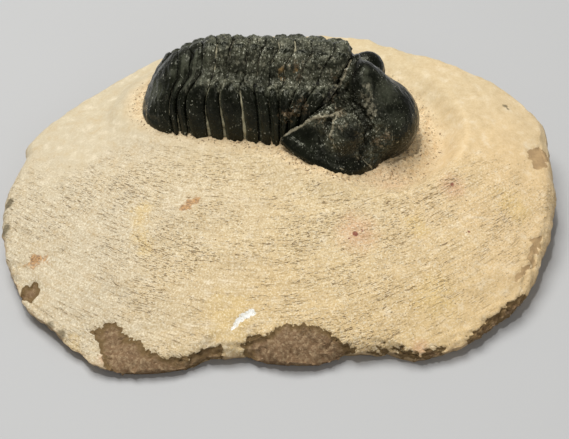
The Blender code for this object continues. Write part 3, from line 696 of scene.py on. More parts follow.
def joint_shift(side, joint):
    """How far forward of its even place a joint lies: a ramp from nothing at the lobe to its full shift."""
    return JOINT_SHIFTS[joint] * smooth(-0.42, -0.80, side)


def joint_place(side, joint):
    """A joint's shift with a gentle wander added, but for the first and last, counted from the tail."""
    if joint in (0, THORAX_RINGS):
        return 0.0 * side
    path = np.stack([12.0 * side, 0.0 * side + 40.0 * joint, 0.0 * side], -1)
    return joint_shift(side, joint) + JOINT_WANDER * waves(path, 4.5, 43)


def ring_swell(place, side, share, number):
    """A ring's relief: arch, bell-shaped nodes, a furrow on the flank, and the roll to the neck."""
    across = np.abs(side)
    half_wave = np.sin(math.pi * place)
    relief = ring_relief(place, across, share)
    spot, spread = NODE
    relief = relief + NODE_SWELL * bell(across - spot, spread) * half_wave
    relief = relief + NEAR_NODE_SWELL * near_nodes(place, side)
    relief = relief + RING_UNEVENNESS * math.sin(2.4 * number) * smooth(0.45, 0.25, across)
    start, run_back, width, depth = PLEURAL_FURROW
    path = start - run_back * smooth(0.42, 0.95, across)
    furrow = bell(place - path, width) * smooth(0.50, 0.70, across) * smooth(0.99, 0.9, across)
    return relief - depth * furrow - neck_drop(share, across)


def near_nodes(place, side):
    """Small knobs beside the crest: a bell across a ring, times half a wave along it."""
    spot, spread = NEAR_NODE
    return bell(side - spot, spread) * np.sin(math.pi * place)


def ring_wear(plain, across, share):
    """Wear on the lobe: roughness, pits and raised lumps, fading out on the flank and towards the tail."""
    worked = (1.0 - 0.85 * smooth(0.62, 0.80, across)) * (1.0 - 0.7 * smooth(*REAR_SHARES, share))
    streaks = plain * np.array([1.0, STREAK_PULL, STREAK_PULL])
    coarse, fine = RING_ROUGHNESS
    wear = worked * (coarse * rough(plain, 2.6, 41) + fine * rough(streaks, 1.0, 45))
    lump = smooth(0.0, 0.7, spot_depth(plain, LUMPS))
    height, unevenness = LUMP_HEIGHTS
    wear = wear * (1.0 - lump) + lump * (height + unevenness * rough(plain, 1.8, 87))
    pits = smooth(0.40, 0.1, cells(streaks, PIT_SIZE, 9.0))
    return wear - PIT_DEPTH * worked * pits * smooth(-0.2, 1.0, waves(plain, 5.0, 47))


def ring_marks(grid, plain, place, side, share, joint):
    """A ring's marks: polish on its flank, pale seams at its edges, painted sheen, and painted shade over the
    cracks of its lobe.
    """
    across = np.abs(side)
    rear = smooth(*REAR_SHARES, share)
    bare = 0.76 - 0.13 * np.sin(math.pi * place) + 0.03 * waves(plain, 2.0, 49)
    polish = np.maximum(smooth(bare - 0.05, bare + 0.05, across), near_nodes(place, side))
    marks = fossil_marks(grid, edge_columns(np.maximum(polish, 0.75 * rear)))
    crest = bell(place - 0.45, 0.16) * smooth(-0.75, -0.55, side) * smooth(0.0, -0.2, side)
    flank = smooth(-0.60, -0.72, side)
    behind, ahead = FLANK_SEAMS[joint], FLANK_SEAMS[joint + 1]
    rim = behind * smooth(0.10, 0.0, place) + ahead * smooth(0.92, 1.0, place)
    marks["pale"] = edge_columns(2.4 * rim * flank + NO_MARK)
    # Painted sheen: the far side, the near crest of the rear rings, and bright rims along the back edges of
    # the near flank plates are lightened.
    soft = np.maximum(0.6 * smooth(0.02, 0.2, side), 1.3 * crest * rear)
    soft = soft + 1.1 * smooth(0.16, 0.0, place) * flank
    marks["soft"] = np.maximum(marks["soft"], edge_columns(soft))
    # Painted shade: the lobe's ring ends by the joints and a band along the near axial furrow are made
    # near-black.
    crack = 0.7 - 2.0 * np.minimum(place, 1.0 - place) / 0.34
    crack = crack - 2.0 * smooth(0.50, 0.56, across) * (1.0 - rear)
    marks["painted_shade"] = edge_columns(np.maximum(crack, 0.38 * bell(side + 0.47, 0.09)))
    return marks


def thorax_ring(number, material):
    """Ring number 1 is next to the head: sections of the thorax between two joints, swollen and worn."""
    side, height = ring_profile(RING_POINTS)
    place = np.linspace(0.0, 1.0, RING_ROWS)[:, None]
    across = np.abs(side)
    narrowing = TIP_NARROWING * smooth(TIP_START, 1.0, across)
    share = (THORAX_RINGS - number + place + (0.5 - place) * narrowing) / THORAX_RINGS
    joint = THORAX_RINGS - number
    offset = (0.5 - place) * SEAM
    offset = offset + (1.0 - place) * joint_place(side, joint) + place * joint_place(side, joint + 1)
    plain = section_points(side, height, share, offset, ring_swell(place, side, share, number))
    grid = worn_section(plain, ring_wear(plain, across, share), across)
    marks = ring_marks(grid, plain, place, side, share, joint)
    ring = closed_piece(f"ring_{number:02d}_shell", grid, material, marks)
    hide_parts(f"thorax_ring_{number:02d}")


def tail_shield(material):
    """The tail: the last section shrunk towards its foot line along a quarter of a superellipse."""
    side, height = ring_profile(RING_POINTS)
    origin, ahead, left, up = midline(0.0)
    step = np.linspace(TAIL_END, 0.0, TAIL_ROWS)[:, None]
    turn = math.pi / 2.0 * step
    fit = (np.sin(turn) ** TAIL_POWER + np.cos(turn) ** TAIL_POWER) ** (-1.0 / TAIL_POWER)
    back, low = np.sin(turn) * fit, np.cos(turn) * fit
    rib = TAIL_RIB_SWELL * np.sin(math.pi * TAIL_RIBS * step) ** 2 * low
    plainness = np.maximum(smooth(0.1, -0.1, side), smooth(0.0, 0.5, step))
    height = height + (even_arch(side) - height) * plainness
    rise = height * CREST_HEIGHT[0] * low + rib * smooth(0.02, 0.3, height)
    rise = np.where(np.abs(side) > 0.999, 0.0, rise)
    reach = -TAIL_LENGTH * back - sweep(side, 0.0) * (1.0 - back) - SEAM / 2
    narrow = (1.0 - back**TAIL_ROUNDING) ** (1.0 / TAIL_ROUNDING)
    lateral = side * HALF_WIDTH[0] * narrow - TAIL_BEND * back**2
    plain = origin + reach[..., None] * ahead + lateral[..., None] * left + rise[..., None] * up
    coarse, fine = TAIL_ROUGHNESS
    wear = coarse * rough(plain, 3.4, 51, 2) + fine * rough(plain, 0.8, 53)
    grid = worn_section(plain, wear, np.abs(side))
    marks = fossil_marks(grid, np.full(grid.shape[:2], TAIL_POLISH))
    tail = closed_piece("tail_shell", grid, material, marks)
    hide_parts("tail_shield")


def thorax_core(material):
    """The stone in the cracks: the thorax's sections at their lowest, raised where a seam is pale."""
    side, height = ring_profile(RING_POINTS)
    share = np.linspace(*CORE_SPAN, CORE_ROWS)[:, None]
    pale = 0.0 * share * side
    spacing = (MIDLINE_X[1] - MIDLINE_X[0]) / THORAX_RINGS
    for number, (flank, back) in enumerate(zip(FLANK_SEAMS, BACK_SEAMS)):
        offset = share * THORAX_RINGS - number - joint_shift(side, number) / spacing
        beside = flank * smooth(-0.55, -0.75, side) + back * smooth(-0.55, -0.4, side)
        pale = pale + bell(offset, SEAM_SPREAD) * beside
    neck = smooth(0.985, 1.0, share)
    pale = pale + 0.20 * neck * smooth(-0.40, -0.50, side) * smooth(-0.85, -0.75, side)
    across = np.abs(side)
    sunk = NECK_SINK * neck * smooth(-0.42, -0.30, side)
    low = ring_relief(0.0 * share, across, share) - neck_drop(share, across) - sunk
    plain = section_points(side, height, share, 0.0, low)
    filled = pale * (0.75 + 0.25 * waves(plain, 2.4, 61)) * (0.25 + 0.55 * smooth(0.55, 0.97, across))
    filled = filled + 0.6 * smooth(0.97, 1.0, share) * smooth(-0.2, -0.5, side)
    ragged = 0.12 * rough(plain, 1.2, 63) * smooth(0.96, 1.0, share) * smooth(-0.1, -0.3, side)
    raised = np.minimum(filled, CORE_HIGHEST) - CORE_SINK + ragged
    grid = with_skirt(plain + outward(plain) * raised[..., None])
    core = closed_piece("thorax_filling", grid, material, {"pale": edge_columns(pale)})


# The head

def ellipsoid(point, centre_and_radii):
    """Rough distance to an ellipsoid's surface, below nought inside."""
    centre, radii = np.array(centre_and_radii)
    near = np.linalg.norm((point - centre) / radii, axis=-1)
    steep = np.linalg.norm((point - centre) / radii**2, axis=-1)
    return near * (near - 1.0) / np.maximum(steep, 1e-6)


def blend(first, second, round_by):
    """The union of two shapes with a fillet of about that size where they meet."""
    share = np.clip(0.5 + 0.5 * (second - first) / round_by, 0.0, 1.0)
    return second * (1 - share) + first * share - round_by * share * (1 - share)


def groove(offset, width, depth):
    """A rounded groove of a given width and depth, to be added to a shape."""
    return depth * bell(offset, width)


def cheeks(x, side, z):
    """The broad low dome of the head with its border groove, below nought inside."""
    length = np.where(x > CHEEK_WIDEST_X, CHEEK_FRONT, CHEEK_BACK) - CHEEK_WIDEST_X
    plan = ((x - CHEEK_WIDEST_X) / length) ** CHEEK_ROUNDNESS
    plan = plan + (side / CHEEK_HALF_WIDTH) ** CHEEK_ROUNDNESS
    radius = CHEEK_HEIGHT + CHEEK_SUNK
    level = (np.abs(z + CHEEK_SUNK) / radius) ** CHEEK_ROUNDNESS
    dome = ((plan + level) ** (1.0 / CHEEK_ROUNDNESS) - 1.0) * radius
    place, width, depth = BORDER_GROOVE
    border = groove(plan ** (1.0 / CHEEK_ROUNDNESS) - place, width, depth)
    return dome + border * smooth(CHEEK_HEIGHT, CHEEK_SUNK, z)


def posterior_edge(side):
    """How far forward of the neck the head's back edge lies, at a distance to the side."""
    return along(POSTERIOR_EDGE, side / (POSTERIOR_STEP * (len(POSTERIOR_EDGE) - 1)))


def head_field(point):
    """Below nought inside the head: cheeks, shoulders, glabella, neck ring and eyes together."""
    x, y, z = point[..., 0], point[..., 1], point[..., 2]
    side = np.abs(y)
    ground = blend(ellipsoid(point, SHOULDER), ellipsoid(point, FIXED_CHEEK), CHEEK_FILLET)
    shape = blend(cheeks(x, side, z), ground, CHEEK_FILLET)
    glabella = blend(ellipsoid(point, GLABELLA), ellipsoid(point, STEM), STEM_FILLET)
    shape = blend(shape, glabella, GLABELLA_FILLET)
    start, widening, length = AXIAL_FURROW
    beside = side - start - widening * np.clip(x - 1.0, 0.0, length)
    shape = shape + groove(beside, *FURROW) * smooth(14.0, 10.0, x)
    shape = blend(shape, ellipsoid(point, NECK_RING), NECK_FILLET)
    edge = posterior_edge(side)
    place, width, depth = NECK_FURROW
    shape = shape + groove(x - edge - place, width, depth) * smooth(14.0, 11.0, side)
    bent = np.stack([x, side + EYE_CURVE * (x - EYE[0][0]) ** 2, z], -1)
    shape = blend(shape, ellipsoid(bent, EYE), EYE_FILLET)
    return np.maximum(shape, edge - x)


def head_surface(azimuth, elevation, lift=0.0):
    """Where lines from the head's centre first leave its field, found by halving the interval."""
    level = np.cos(elevation)
    direction = np.stack([np.cos(azimuth) * level, np.sin(azimuth) * level, np.sin(elevation)], -1)
    centre = np.array(HEAD_CENTRE) + (0.0, 0.0, lift)
    low = np.zeros(direction.shape[:-1])
    inside = np.ones(low.shape, bool)
    for step in np.arange(SEARCH_STEP, SEARCH_REACH, SEARCH_STEP):
        inside &= head_field(centre + step * direction) < 0.0
        low = np.where(inside, step, low)
    high = low + SEARCH_STEP
    for _ in range(HALVINGS):
        middle = 0.5 * (low + high)
        inside = head_field(centre + middle[..., None] * direction) < 0.0
        low, high = np.where(inside, middle, low), np.where(inside, high, middle)
    return centre + high[..., None] * direction


def head_points(spokes, rows):
    """The head's upper surface in its own frame: rows of points from its top to its margin."""
    azimuth = np.arange(spokes) * 2 * math.pi / spokes
    margin = head_surface(azimuth, np.zeros(spokes), -HEAD_CENTRE[2])
    reach = np.hypot(margin[:, 0] - HEAD_CENTRE[0], margin[:, 1])
    lowest = np.arctan2(-HEAD_CENTRE[2], reach)
    share = np.linspace(1.0, 0.0, rows)[:, None]
    elevation = lowest + (math.radians(HEAD_TOP_DEG) - lowest) * share
    return head_surface(np.broadcast_to(azimuth, elevation.shape), elevation)


def line_gap(place, points):
    """Distance to a line through some points, with heights counted for less."""
    gap = np.full(place.shape[:-1], 99.0)
    flatten = np.array([1.0, 1.0, LINE_FLATTEN])
    place, points = place * flatten, np.array(points) * flatten
    for start, end in zip(points, points[1:]):
        run = end - start
        share = np.clip((place - start) @ run / (run @ run), 0.0, 1.0)
        gap = np.minimum(gap, np.linalg.norm(place - start - share[..., None] * run, axis=-1))
    return gap


def line_depth(place, lines):
    """How deep each point lies inside the nearest of some lines: 1 on it, 0 at its half width."""
    depth = np.max([1.0 - line_gap(place, points) / width for points, width in lines], axis=0)
    return np.maximum(depth, NO_MARK)


def head_wear(local):
    """Relief and marks of the head: pebbled eyes, broken ground beside them, ridges and grooves."""
    x, y, z = local[..., 0], local[..., 1], local[..., 2]
    side = np.abs(y)
    eye = smooth(1.5, 0.2, np.abs(ellipsoid(np.stack([x, side, z], -1), EYE)))
    eye = eye * smooth(7.4, 6.2, z) * smooth(8.0, 9.5, side)
    behind = smooth(4.0, 0.5, x) * smooth(1.0, -3.0, y) * smooth(13.6, 12.0, side)
    broken = 0.7 * behind
    for centre, start, full, strength in BROKEN_GROUND:
        gap = np.linalg.norm(local - np.array(centre), axis=-1)
        broken = np.maximum(broken, strength * smooth(start, full, gap))
    size, height = EYE_PEBBLES
    relief = HEAD_ROUGHNESS * rough(local, 3.0, 71) + height * eye * (0.35 - cells(local, size, 13.0) ** 2)
    torn = cells(local + 0.25 * rough(local, 1.5, 85)[..., None], 1.9, 15.0)
    coarse, fine, tearing = BROKEN_RELIEF
    jagged = coarse * rough(local, 2.2, 73) + fine * rough(local, 0.8, 76) - tearing * (torn - 0.45)
    relief = relief + broken * jagged
    torn_lines = 0.8 + 0.3 * waves(local, 2.0, 81)
    for points, width, height in HEAD_LINES:
        relief = relief + height * bell(line_gap(local, points), width) * torn_lines
    polish = np.clip(1.0 - broken - 0.6 * eye, 0.0, 1.0)
    # The last mark below is painted shade in the head's recesses; the pale one holds veins, chips and a few
    # painted glints.
    return relief, {
        "polish": polish,
        "pale": line_depth(local, PALE_LINES),
        "painted_shade": line_depth(local, PAINTED_SHADE_LINES),
    }


def head_shield(material):
    """The head shield: rows from its top to its margin, then down into the stone."""
    origin, _, left, up = midline(1.0)
    axes = np.stack([np.cross(left, up), left, up])
    local = head_points(HEAD_SPOKES, HEAD_ROWS)
    relief, wear = head_wear(local)
    world = origin + (local + outward(local) * relief[..., None]) @ axes
    world = np.concatenate([world, world[-1:] - np.array([0.0, 0.0, SKIRT])])
    marks = fossil_marks(world, 0.0)
    marks.update({mark: np.concatenate([depth, depth[-1:]]) for mark, depth in wear.items()})
    head = closed_piece("head_shell", world, material, marks)
    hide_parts("head_shield")


# Materials

def tone(red, green, blue):
    """A colour given as it shows on a screen, 0 to 255, turned into the light that it stands for."""
    shown = np.array([red, green, blue]) / 255.0
    light = np.where(shown <= 0.04045, shown / 12.92, ((shown + 0.055) / 1.055) ** 2.4)
    return (*light, 1.0)


class Finish:
    """A material being put together from nodes, ending in one shader."""

    def __init__(self, name):
        self.material = bpy.data.materials.new(name)
        self.material.use_nodes = True
        self.tree = self.material.node_tree
        self.shader = self.tree.nodes["Principled BSDF"]

    def put(self, socket, value):
        """Joins a socket to another, or sets its value."""
        if isinstance(value, bpy.types.NodeSocket):
            self.tree.links.new(value, socket)
        else:
            socket.default_value = value

    def node(self, kind, *inputs, **settings):
        """A new node with its settings, and its first inputs in order."""
        made = self.tree.nodes.new(kind)
        for name, value in settings.items():
            setattr(made, name, value)
        for socket, value in zip(made.inputs, inputs):
            self.put(socket, value)
        return made

    def place(self):
        """The place on the object in millimetres."""
        coordinates = self.node("ShaderNodeTexCoord").outputs["Object"]
        scaled = self.node("ShaderNodeVectorMath", coordinates, operation="SCALE")
        scaled.inputs["Scale"].default_value = 1.0 / MM
        return scaled.outputs[0]

    def mark(self, name):
        """A mark that was worked out with the mesh."""
        return self.node("ShaderNodeAttribute", attribute_name=name).outputs["Fac"]

    def math(self, operation, first, second):
        """One step of arithmetic."""
        return self.node("ShaderNodeMath", first, second, operation=operation).outputs[0]

    def add(self, first, second):
        """The sum of two values."""
        return self.math("ADD", first, second)

    def times(self, first, second):
        """The product of two values."""
        return self.math("MULTIPLY", first, second)

    def sway(self, noise, amount):
        """A noise taken about nought, times an amount."""
        return self.times(self.add(noise, -0.5), amount)

    def noise(self, place, size, detail=3.0, harshness=0.55):
        """Cloudy noise about 0.5 with features of a size in the units of place."""
        made = self.node("ShaderNodeTexNoise", place, noise_dimensions="3D")
        for name, value in (("Scale", 1.0 / size), ("Detail", detail), ("Roughness", harshness)):
            made.inputs[name].default_value = value
        return made.outputs["Fac"]

    def scattered(self, place, size):
        """Distance to the nearest of scattered points, in cell sizes."""
        made = self.node("ShaderNodeTexVoronoi", place, feature="F1")
        made.inputs["Scale"].default_value = 1.0 / size
        return made.outputs["Distance"]

    def ramp(self, value, low, high):
        """0 up to one value and 1 from another, with rounded ends between."""
        made = self.node("ShaderNodeMapRange", value, low, high, 0.0, 1.0, interpolation_type="SMOOTHSTEP")
        return made.outputs[0]

    def mix(self, share, low, high):
        """A colour between two others."""
        made = self.node("ShaderNodeMix", data_type="RGBA")
        self.put(made.inputs["Factor"], share)
        self.put(made.inputs[6], low)
        self.put(made.inputs[7], high)
        return made.outputs[2]

    def over(self, colour, share, strength, tint):
        """A colour with a tint laid over it: by a share, times a strength."""
        return self.mix(self.times(share, strength), colour, tint)

    def patch(self, mark, noise, amount, low, high):
        """Where a mark lies: a ramp between two of its values, its rim made ragged by a noise."""
        return self.ramp(self.add(self.mark(mark), self.sway(noise, amount)), low, high)

    def bump(self, height, depth):
        """Fine relief of a depth in millimetres."""
        made = self.node("ShaderNodeBump")
        made.inputs["Strength"].default_value = 1.0
        made.inputs["Distance"].default_value = depth * MM
        self.put(made.inputs["Height"], height)
        return made.outputs["Normal"]

    def finish(self, colour, roughness, normal, **constants):
        """Sets the shader: colour, roughness and normal from nodes, and the rest as plain values."""
        self.put(self.shader.inputs["Base Color"], colour)
        self.put(self.shader.inputs["Roughness"], roughness)
        self.put(self.shader.inputs["Normal"], normal)
        for name, value in constants.items():
            self.shader.inputs[name.replace("_", " ")].default_value = value
        return self.material


def arc_place(f, place, stretch, squeeze):
    """The place drawn out along the shallow arcs that the tool has left across the face."""
    x, y, z = f.node("ShaderNodeSeparateXYZ", place).outputs
    shifted = f.add(x, TOOL_ARC_SHIFT)
    level = f.math("SUBTRACT", y, f.times(f.times(shifted, shifted), TOOL_ARC_BEND))
    run, rise = f.times(x, 1.0 / stretch), f.times(level, 1.0 / squeeze)
    return f.node("ShaderNodeCombineXYZ", run, rise, f.times(z, 0.3)).outputs[0]


def stone_ground(f, place, cloud, fine):
    """The stone's colour: greyer to the left, warmer to the right and near side, and greyed by painted shade
    on the far side.
    """
    x, y, _ = f.node("ShaderNodeSeparateXYZ", place).outputs
    across = f.add(x, f.sway(cloud, 60.0))
    colour = f.mix(f.ramp(across, -42.0, 8.0), tone(205, 191, 162), tone(219, 196, 151))
    colour = f.mix(f.ramp(across, 10.0, 50.0), colour, tone(228, 198, 149))
    low = f.ramp(f.add(y, f.sway(cloud, 30.0)), -12.0, -36.0)
    colour = f.over(colour, low, f.times(f.ramp(across, -40.0, 0.0), 0.7), tone(220, 190, 136))
    # Painted shade: the far side behind the crest is greyed.
    high = f.ramp(f.add(y, f.sway(cloud, 20.0)), 0.0, 22.0)
    colour = f.over(colour, high, 0.4, tone(208, 194, 162))
    colour = f.over(colour, f.ramp(fine, 0.45, 0.75), 0.50, tone(196, 170, 126))
    colour = f.over(colour, f.ramp(fine, 0.5, 0.25), 0.5, tone(242, 228, 200))
    colour = f.over(colour, f.patch("yellow", fine, 2.2, 0.0, 0.9), 0.45, tone(226, 194, 122))
    return f.over(colour, f.patch("pink", fine, 0.9, 0.0, 0.9), 0.6, tone(216, 166, 130))


def tool_marks(f, colour, place, cloud):
    """Dust and flecks along the tool's arcs on the worked part of the face, with their relief; the brown
    flecks are the tool's pits in painted shade.
    """
    x, y, _ = f.node("ShaderNodeSeparateXYZ", place).outputs
    fleck = f.noise(arc_place(f, place, 1.0, 0.20), 1.0, 2.0, 0.5)
    streak = f.noise(arc_place(f, place, 6.0, 0.55), 1.0, 3.0, 0.6)
    worked = f.ramp(f.add(y, f.sway(cloud, 24.0)), 8.0, -6.0)
    worked = f.times(worked, f.ramp(f.add(x, f.times(y, -0.8)), 78.0, 46.0))
    busy = f.times(worked, f.ramp(f.add(cloud, f.sway(streak, 0.7)), 0.33, 0.62))
    patchy = f.ramp(f.add(f.noise(place, 7.0, 3.0), f.sway(streak, 0.5)), 0.36, 0.60)
    flecks = f.times(f.ramp(fleck, 0.58, 0.64), f.times(busy, patchy))
    pale_flecks = f.times(f.ramp(fleck, 0.43, 0.34), busy)
    dots = f.ramp(f.noise(place, 0.42, 2.0, 0.5), 0.67, 0.72)
    dots = f.times(dots, f.ramp(f.add(busy, streak), 0.45, 0.9))
    dust = f.noise(place, 0.38, 2.0, 0.6)
    dark_dust, pale_dust = f.ramp(dust, 0.52, 0.66), f.ramp(dust, 0.48, 0.34)
    colour = f.over(colour, dark_dust, f.add(0.12, f.times(worked, 0.40)), tone(180, 152, 104))
    colour = f.over(colour, pale_dust, f.add(0.12, f.times(worked, 0.45)), tone(250, 238, 208))
    colour = f.over(colour, f.ramp(streak, 0.4, 0.7), f.times(worked, 0.34), tone(194, 166, 122))
    colour = f.over(colour, pale_flecks, 0.5, tone(244, 230, 200))
    # The tool's pits, painted brown as shade as well as sunk by the bump.
    colour = f.over(colour, flecks, 0.72, tone(124, 94, 60))
    colour = f.over(colour, dots, 0.75, tone(104, 78, 52))
    return colour, ((flecks, -1.1), (pale_flecks, 0.3), (f.times(streak, worked), 0.5))


def crumbs_and_stains(f, colour, place, fine, grain):
    """Crumbs at the fossil's foot, and the small rust, red and grey stains."""
    foot = f.mark("foot")
    crumb = f.mix(f.ramp(grain, 0.3, 0.7), tone(204, 170, 124), tone(246, 226, 186))
    colour = f.over(colour, foot, 0.75, crumb)
    specks = f.times(f.ramp(f.noise(place, 0.55, 2.0, 0.5), 0.60, 0.67), f.ramp(foot, 0.05, 0.6))
    colour = f.over(colour, specks, 0.8, tone(100, 70, 46))
    rusty = f.mix(f.ramp(grain, 0.38, 0.6), tone(122, 80, 46), tone(206, 150, 88))
    colour = f.over(colour, f.patch("rust", fine, 3.4, 0.0, 0.5), 0.72, rusty)
    colour = f.over(colour, f.patch("red", fine, 1.4, 0.1, 0.5), 0.85, tone(128, 58, 44))
    return f.over(colour, f.patch("grey", fine, 1.8, 0.0, 0.5), 0.8, tone(108, 97, 72))


def broken_edge(f, colour, place, fine, grain):
    """The edge's wall in a browner, deeper tone that is partly the stone's own and partly painted shade, pale
    and brown rind, and the white chip; also where brown rind lies.
    """
    graded = f.ramp(fine, 0.35, 0.65)
    # The wall's tone: partly the broken stone's browner colour, partly painted shade.
    wall = f.mix(graded, tone(140, 116, 86), tone(186, 158, 120))
    colour = f.over(colour, f.patch("edge", fine, 0.9, 0.75, 1.15), 0.8, wall)
    ragged = f.sway(f.noise(place, 1.1, 4.0, 0.65), 1.4)
    pale_rind = f.ramp(f.add(f.mark("pale_rind"), ragged), -0.05, 0.2)
    colour = f.over(colour, pale_rind, 0.85, f.mix(graded, tone(164, 132, 92), tone(190, 158, 114)))
    rind_depth = f.add(f.mark("rind"), ragged)
    rind, inner = f.ramp(rind_depth, -0.05, 0.12), f.ramp(rind_depth, 0.2, 1.8)
    crystals = f.ramp(f.noise(place, 0.8, 4.0, 0.7), 0.42, 0.68)
    crystal_tone = f.mix(crystals, tone(130, 103, 74), tone(172, 147, 113))
    colour = f.mix(rind, colour, f.mix(inner, tone(122, 98, 62), crystal_tone))
    pale_grains = f.times(inner, f.ramp(f.noise(place, 0.7, 2.0, 0.5), 0.70, 0.76))
    colour = f.over(colour, f.times(rind, pale_grains), 0.7, tone(222, 196, 164))
    chip = f.patch("chip", f.noise(place, 1.0, 4.0, 0.65), 2.2, -0.05, 0.1)
    chip_tone = f.mix(f.ramp(grain, 0.35, 0.55), tone(214, 208, 190), tone(246, 245, 238))
    return f.mix(chip, colour, chip_tone), rind


def limestone():
    """Tan limestone: cloudy ground, then tool marks, crumbs, stains and rind laid over it in turn."""
    f = Finish("limestone_face")
    place = f.place()
    cloud = f.noise(place, 16.0, 4.0)
    fine = f.noise(place, 2.2, 5.0, 0.65)
    grain = f.noise(place, 0.45, 4.0, 0.7)
    colour = stone_ground(f, place, cloud, fine)
    colour, tooling = tool_marks(f, colour, place, cloud)
    colour = crumbs_and_stains(f, colour, place, fine, grain)
    colour, rind = broken_edge(f, colour, place, fine, grain)
    height = f.add(f.times(grain, 0.5), f.times(f.noise(place, 1.3, 4.0, 0.6), 0.7))
    rind_grain = f.times(rind, f.noise(place, 0.6, 4.0, 0.75))
    for relief, amount in (*tooling, (rind_grain, 1.6)):
        height = f.add(height, f.times(relief, amount))
    roughness = f.add(0.72, f.sway(grain, 0.3))
    return f.finish(colour, roughness, f.bump(height, 0.14), Specular_IOR_Level=0.25)


def shell():
    """Black calcite shell: green-grey and rough where it is worn, black and glossy where it is smooth, with
    painted glints, sheen and shade laid into its colour.
    """
    f = Finish("black_calcite")
    place = f.place()
    drawn = f.node("ShaderNodeVectorMath", place, (1.0, 0.5, 0.5), operation="MULTIPLY").outputs[0]
    cloud = f.noise(place, 3.2, 4.0, 0.6)
    fine = f.noise(place, 0.7, 4.0, 0.7)
    streak = f.noise(drawn, 0.7, 4.0, 0.65)
    polish = f.patch("polish", cloud, 1.2, 0.1, 0.9)
    clouded = f.ramp(cloud, 0.35, 0.65)
    smooth_tone = f.mix(clouded, tone(6, 8, 4), tone(24, 26, 17))
    smooth_tone = f.over(smooth_tone, f.ramp(fine, 0.58, 0.78), 0.3, tone(78, 74, 48))
    rough_tone = f.mix(clouded, tone(42, 43, 33), tone(92, 92, 75))
    # Pale streaks drawn along the rings: partly the worn calcite's grey, partly a painted highlight on the
    # ribs.
    rough_tone = f.over(rough_tone, f.ramp(streak, 0.54, 0.64), 0.6, tone(148, 144, 122))
    rough_tone = f.over(rough_tone, f.ramp(fine, 0.47, 0.40), 0.8, tone(14, 14, 8))
    colour = f.mix(polish, rough_tone, smooth_tone)
    # Painted sheen: lighter grey-green where the soft mark lies.
    colour = f.over(colour, f.patch("soft", streak, 1.6, 0.0, 1.0), 0.5, tone(92, 94, 78))
    streaks = f.add(f.sway(streak, 4.0), f.sway(fine, 2.6))
    bare = f.mix(f.ramp(fine, 0.4, 0.6), tone(96, 92, 74), tone(160, 152, 128))
    clay = f.ramp(f.noise(place, 0.5, 4.0, 0.7), 0.38, 0.62)
    earth = f.mix(clay, tone(58, 48, 34), tone(150, 126, 96))
    orange = tone(158, 122, 68)
    for mark, strength, tint in (("worn", 0.55, bare), ("brown", 0.5, earth), ("orange", 0.6, orange)):
        colour = f.over(colour, f.ramp(f.add(f.mark(mark), streaks), 0.1, 0.9), strength, tint)
    # Painted shade: recesses and cracks made near-black.
    colour = f.over(colour, f.patch("painted_shade", fine, 1.2, 0.0, 0.8), 0.75, tone(10, 10, 6))
    # Pale stone in the seams, pale veins and chips, and a few painted glints on the head.
    colour = f.over(colour, f.patch("pale", fine, 2.4, 0.05, 0.6), 0.72, tone(158, 149, 124))
    # Painted glints: small pale specks laid into the colour, fewer and fainter where the shell is polished.
    sparks = f.add(f.noise(drawn, 0.23, 2.0, 0.5), f.sway(fine, 0.5))
    sparse = f.add(0.15, f.times(f.ramp(cloud, 0.44, 0.58), 0.85))
    glints = f.times(f.ramp(f.add(sparks, f.times(polish, -0.03)), 0.63, 0.69), sparse)
    colour = f.over(colour, glints, f.add(0.95, f.times(polish, -0.3)), tone(206, 204, 184))
    facets = f.scattered(place, 0.6)
    height = f.add(f.times(fine, 0.9), f.add(f.times(facets, 0.7), f.times(streak, 0.5)))
    height = f.times(height, f.add(1.0, f.times(polish, -0.7)))
    height = f.add(height, f.times(f.noise(place, 1.6, 3.0, 0.6), 0.25))
    dullness = f.times(f.ramp(f.noise(place, 0.9, 4.0, 0.65), 0.35, 0.7), 0.30)
    sheen = tone(224, 224, 200)
    normal = f.bump(height, 0.17)
    return f.finish(
        colour, f.add(0.12, dullness), normal, Specular_IOR_Level=0.29, Specular_Tint=sheen,
    )


def filling():
    """Stone filling in the cracks between the plates, near-black where it isn't pale: painted shade in the
    deep cracks.
    """
    f = Finish("filling")
    place = f.place()
    fine = f.noise(place, 0.8, 4.0, 0.7)
    pale = f.patch("pale", fine, 1.0, 0.1, 0.7)
    # Near-black is painted shade in the deep cracks; the tan tones are pale stone in the seams.
    colour = f.mix(pale, tone(20, 18, 11), f.mix(fine, tone(122, 114, 84), tone(190, 184, 154)))
    normal = f.bump(f.noise(place, 0.5), 0.08)
    return f.finish(colour, f.add(0.5, f.times(fine, 0.4)), normal, Specular_IOR_Level=0.25)


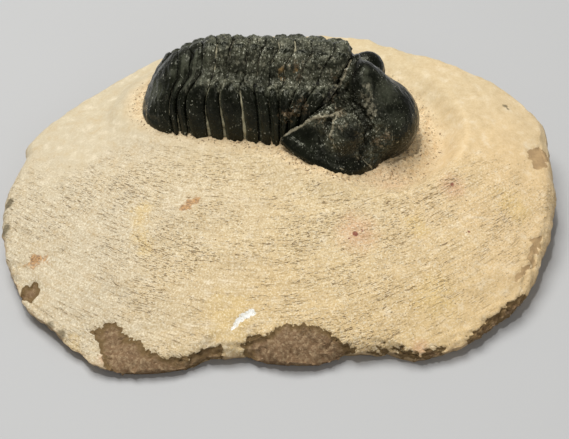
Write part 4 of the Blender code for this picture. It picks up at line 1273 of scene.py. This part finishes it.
def floor_finish():
    """A plain pale matt floor."""
    f = Finish("studio_floor")
    place = f.place()
    colour = f.mix(f.noise(place, 120.0), tone(186, 186, 185), tone(189, 189, 188))
    return f.finish(colour, 0.8, f.bump(f.noise(place, 2.0), 0.01), Specular_IOR_Level=0.1)


def studio():
    """A plain floor, a broad light at the back, a weaker one in front, a small one above and a soft sky."""
    mesh = bpy.data.meshes.new("studio_floor")
    corners = [(x * FLOOR_REACH, y * FLOOR_REACH, 0.0) for x, y in ((-1, -1), (1, -1), (1, 1), (-1, 1))]
    mesh.from_pydata(corners, [], [(0, 1, 2, 3)])
    mesh.materials.append(floor_finish())
    floor = bpy.data.objects.new("studio_floor", mesh)
    bpy.context.scene.collection.objects.link(floor)
    for name, place, size, power in LIGHTS:
        light = bpy.data.lights.new(name, "AREA")
        light.shape = "DISK"
        light.size = size
        light.energy = power
        lamp = bpy.data.objects.new(name, light)
        lamp.location = place
        lamp.rotation_euler = (Vector(LIGHTS_AIM) - Vector(place)).to_track_quat("-Z", "Y").to_euler()
        bpy.context.scene.collection.objects.link(lamp)
    world = bpy.data.worlds.new("studio")
    world.use_nodes = True
    sky = world.node_tree.nodes["Background"]
    sky.inputs["Color"].default_value = (1.0, 1.0, 1.0, 1.0)
    sky.inputs["Strength"].default_value = SKY_STRENGTH
    bpy.context.scene.world = world


def camera():
    """The camera looks along +Y and down at the slab, as in the photograph."""
    data = bpy.data.cameras.new("camera")
    data.lens = CAMERA_LENS
    data.sensor_width = 36.0
    data.clip_start = 0.001
    made = bpy.data.objects.new("camera", data)
    rise = math.radians(CAMERA_ELEVATION_DEG)
    back = Vector((0.0, -math.cos(rise), math.sin(rise)))
    made.location = Vector(CAMERA_TARGET) + back * CAMERA_DISTANCE
    made.rotation_euler = (-back).to_track_quat("-Z", "Y").to_euler()
    bpy.context.scene.collection.objects.link(made)
    bpy.context.scene.camera = made


bpy.context.scene.view_settings.view_transform = "Standard"
camera()
studio()
stone_slab(limestone())
shell_finish = shell()
head_shield(shell_finish)
for number in range(1, THORAX_RINGS + 1):
    thorax_ring(number, shell_finish)
tail_shield(shell_finish)
thorax_core(filling())
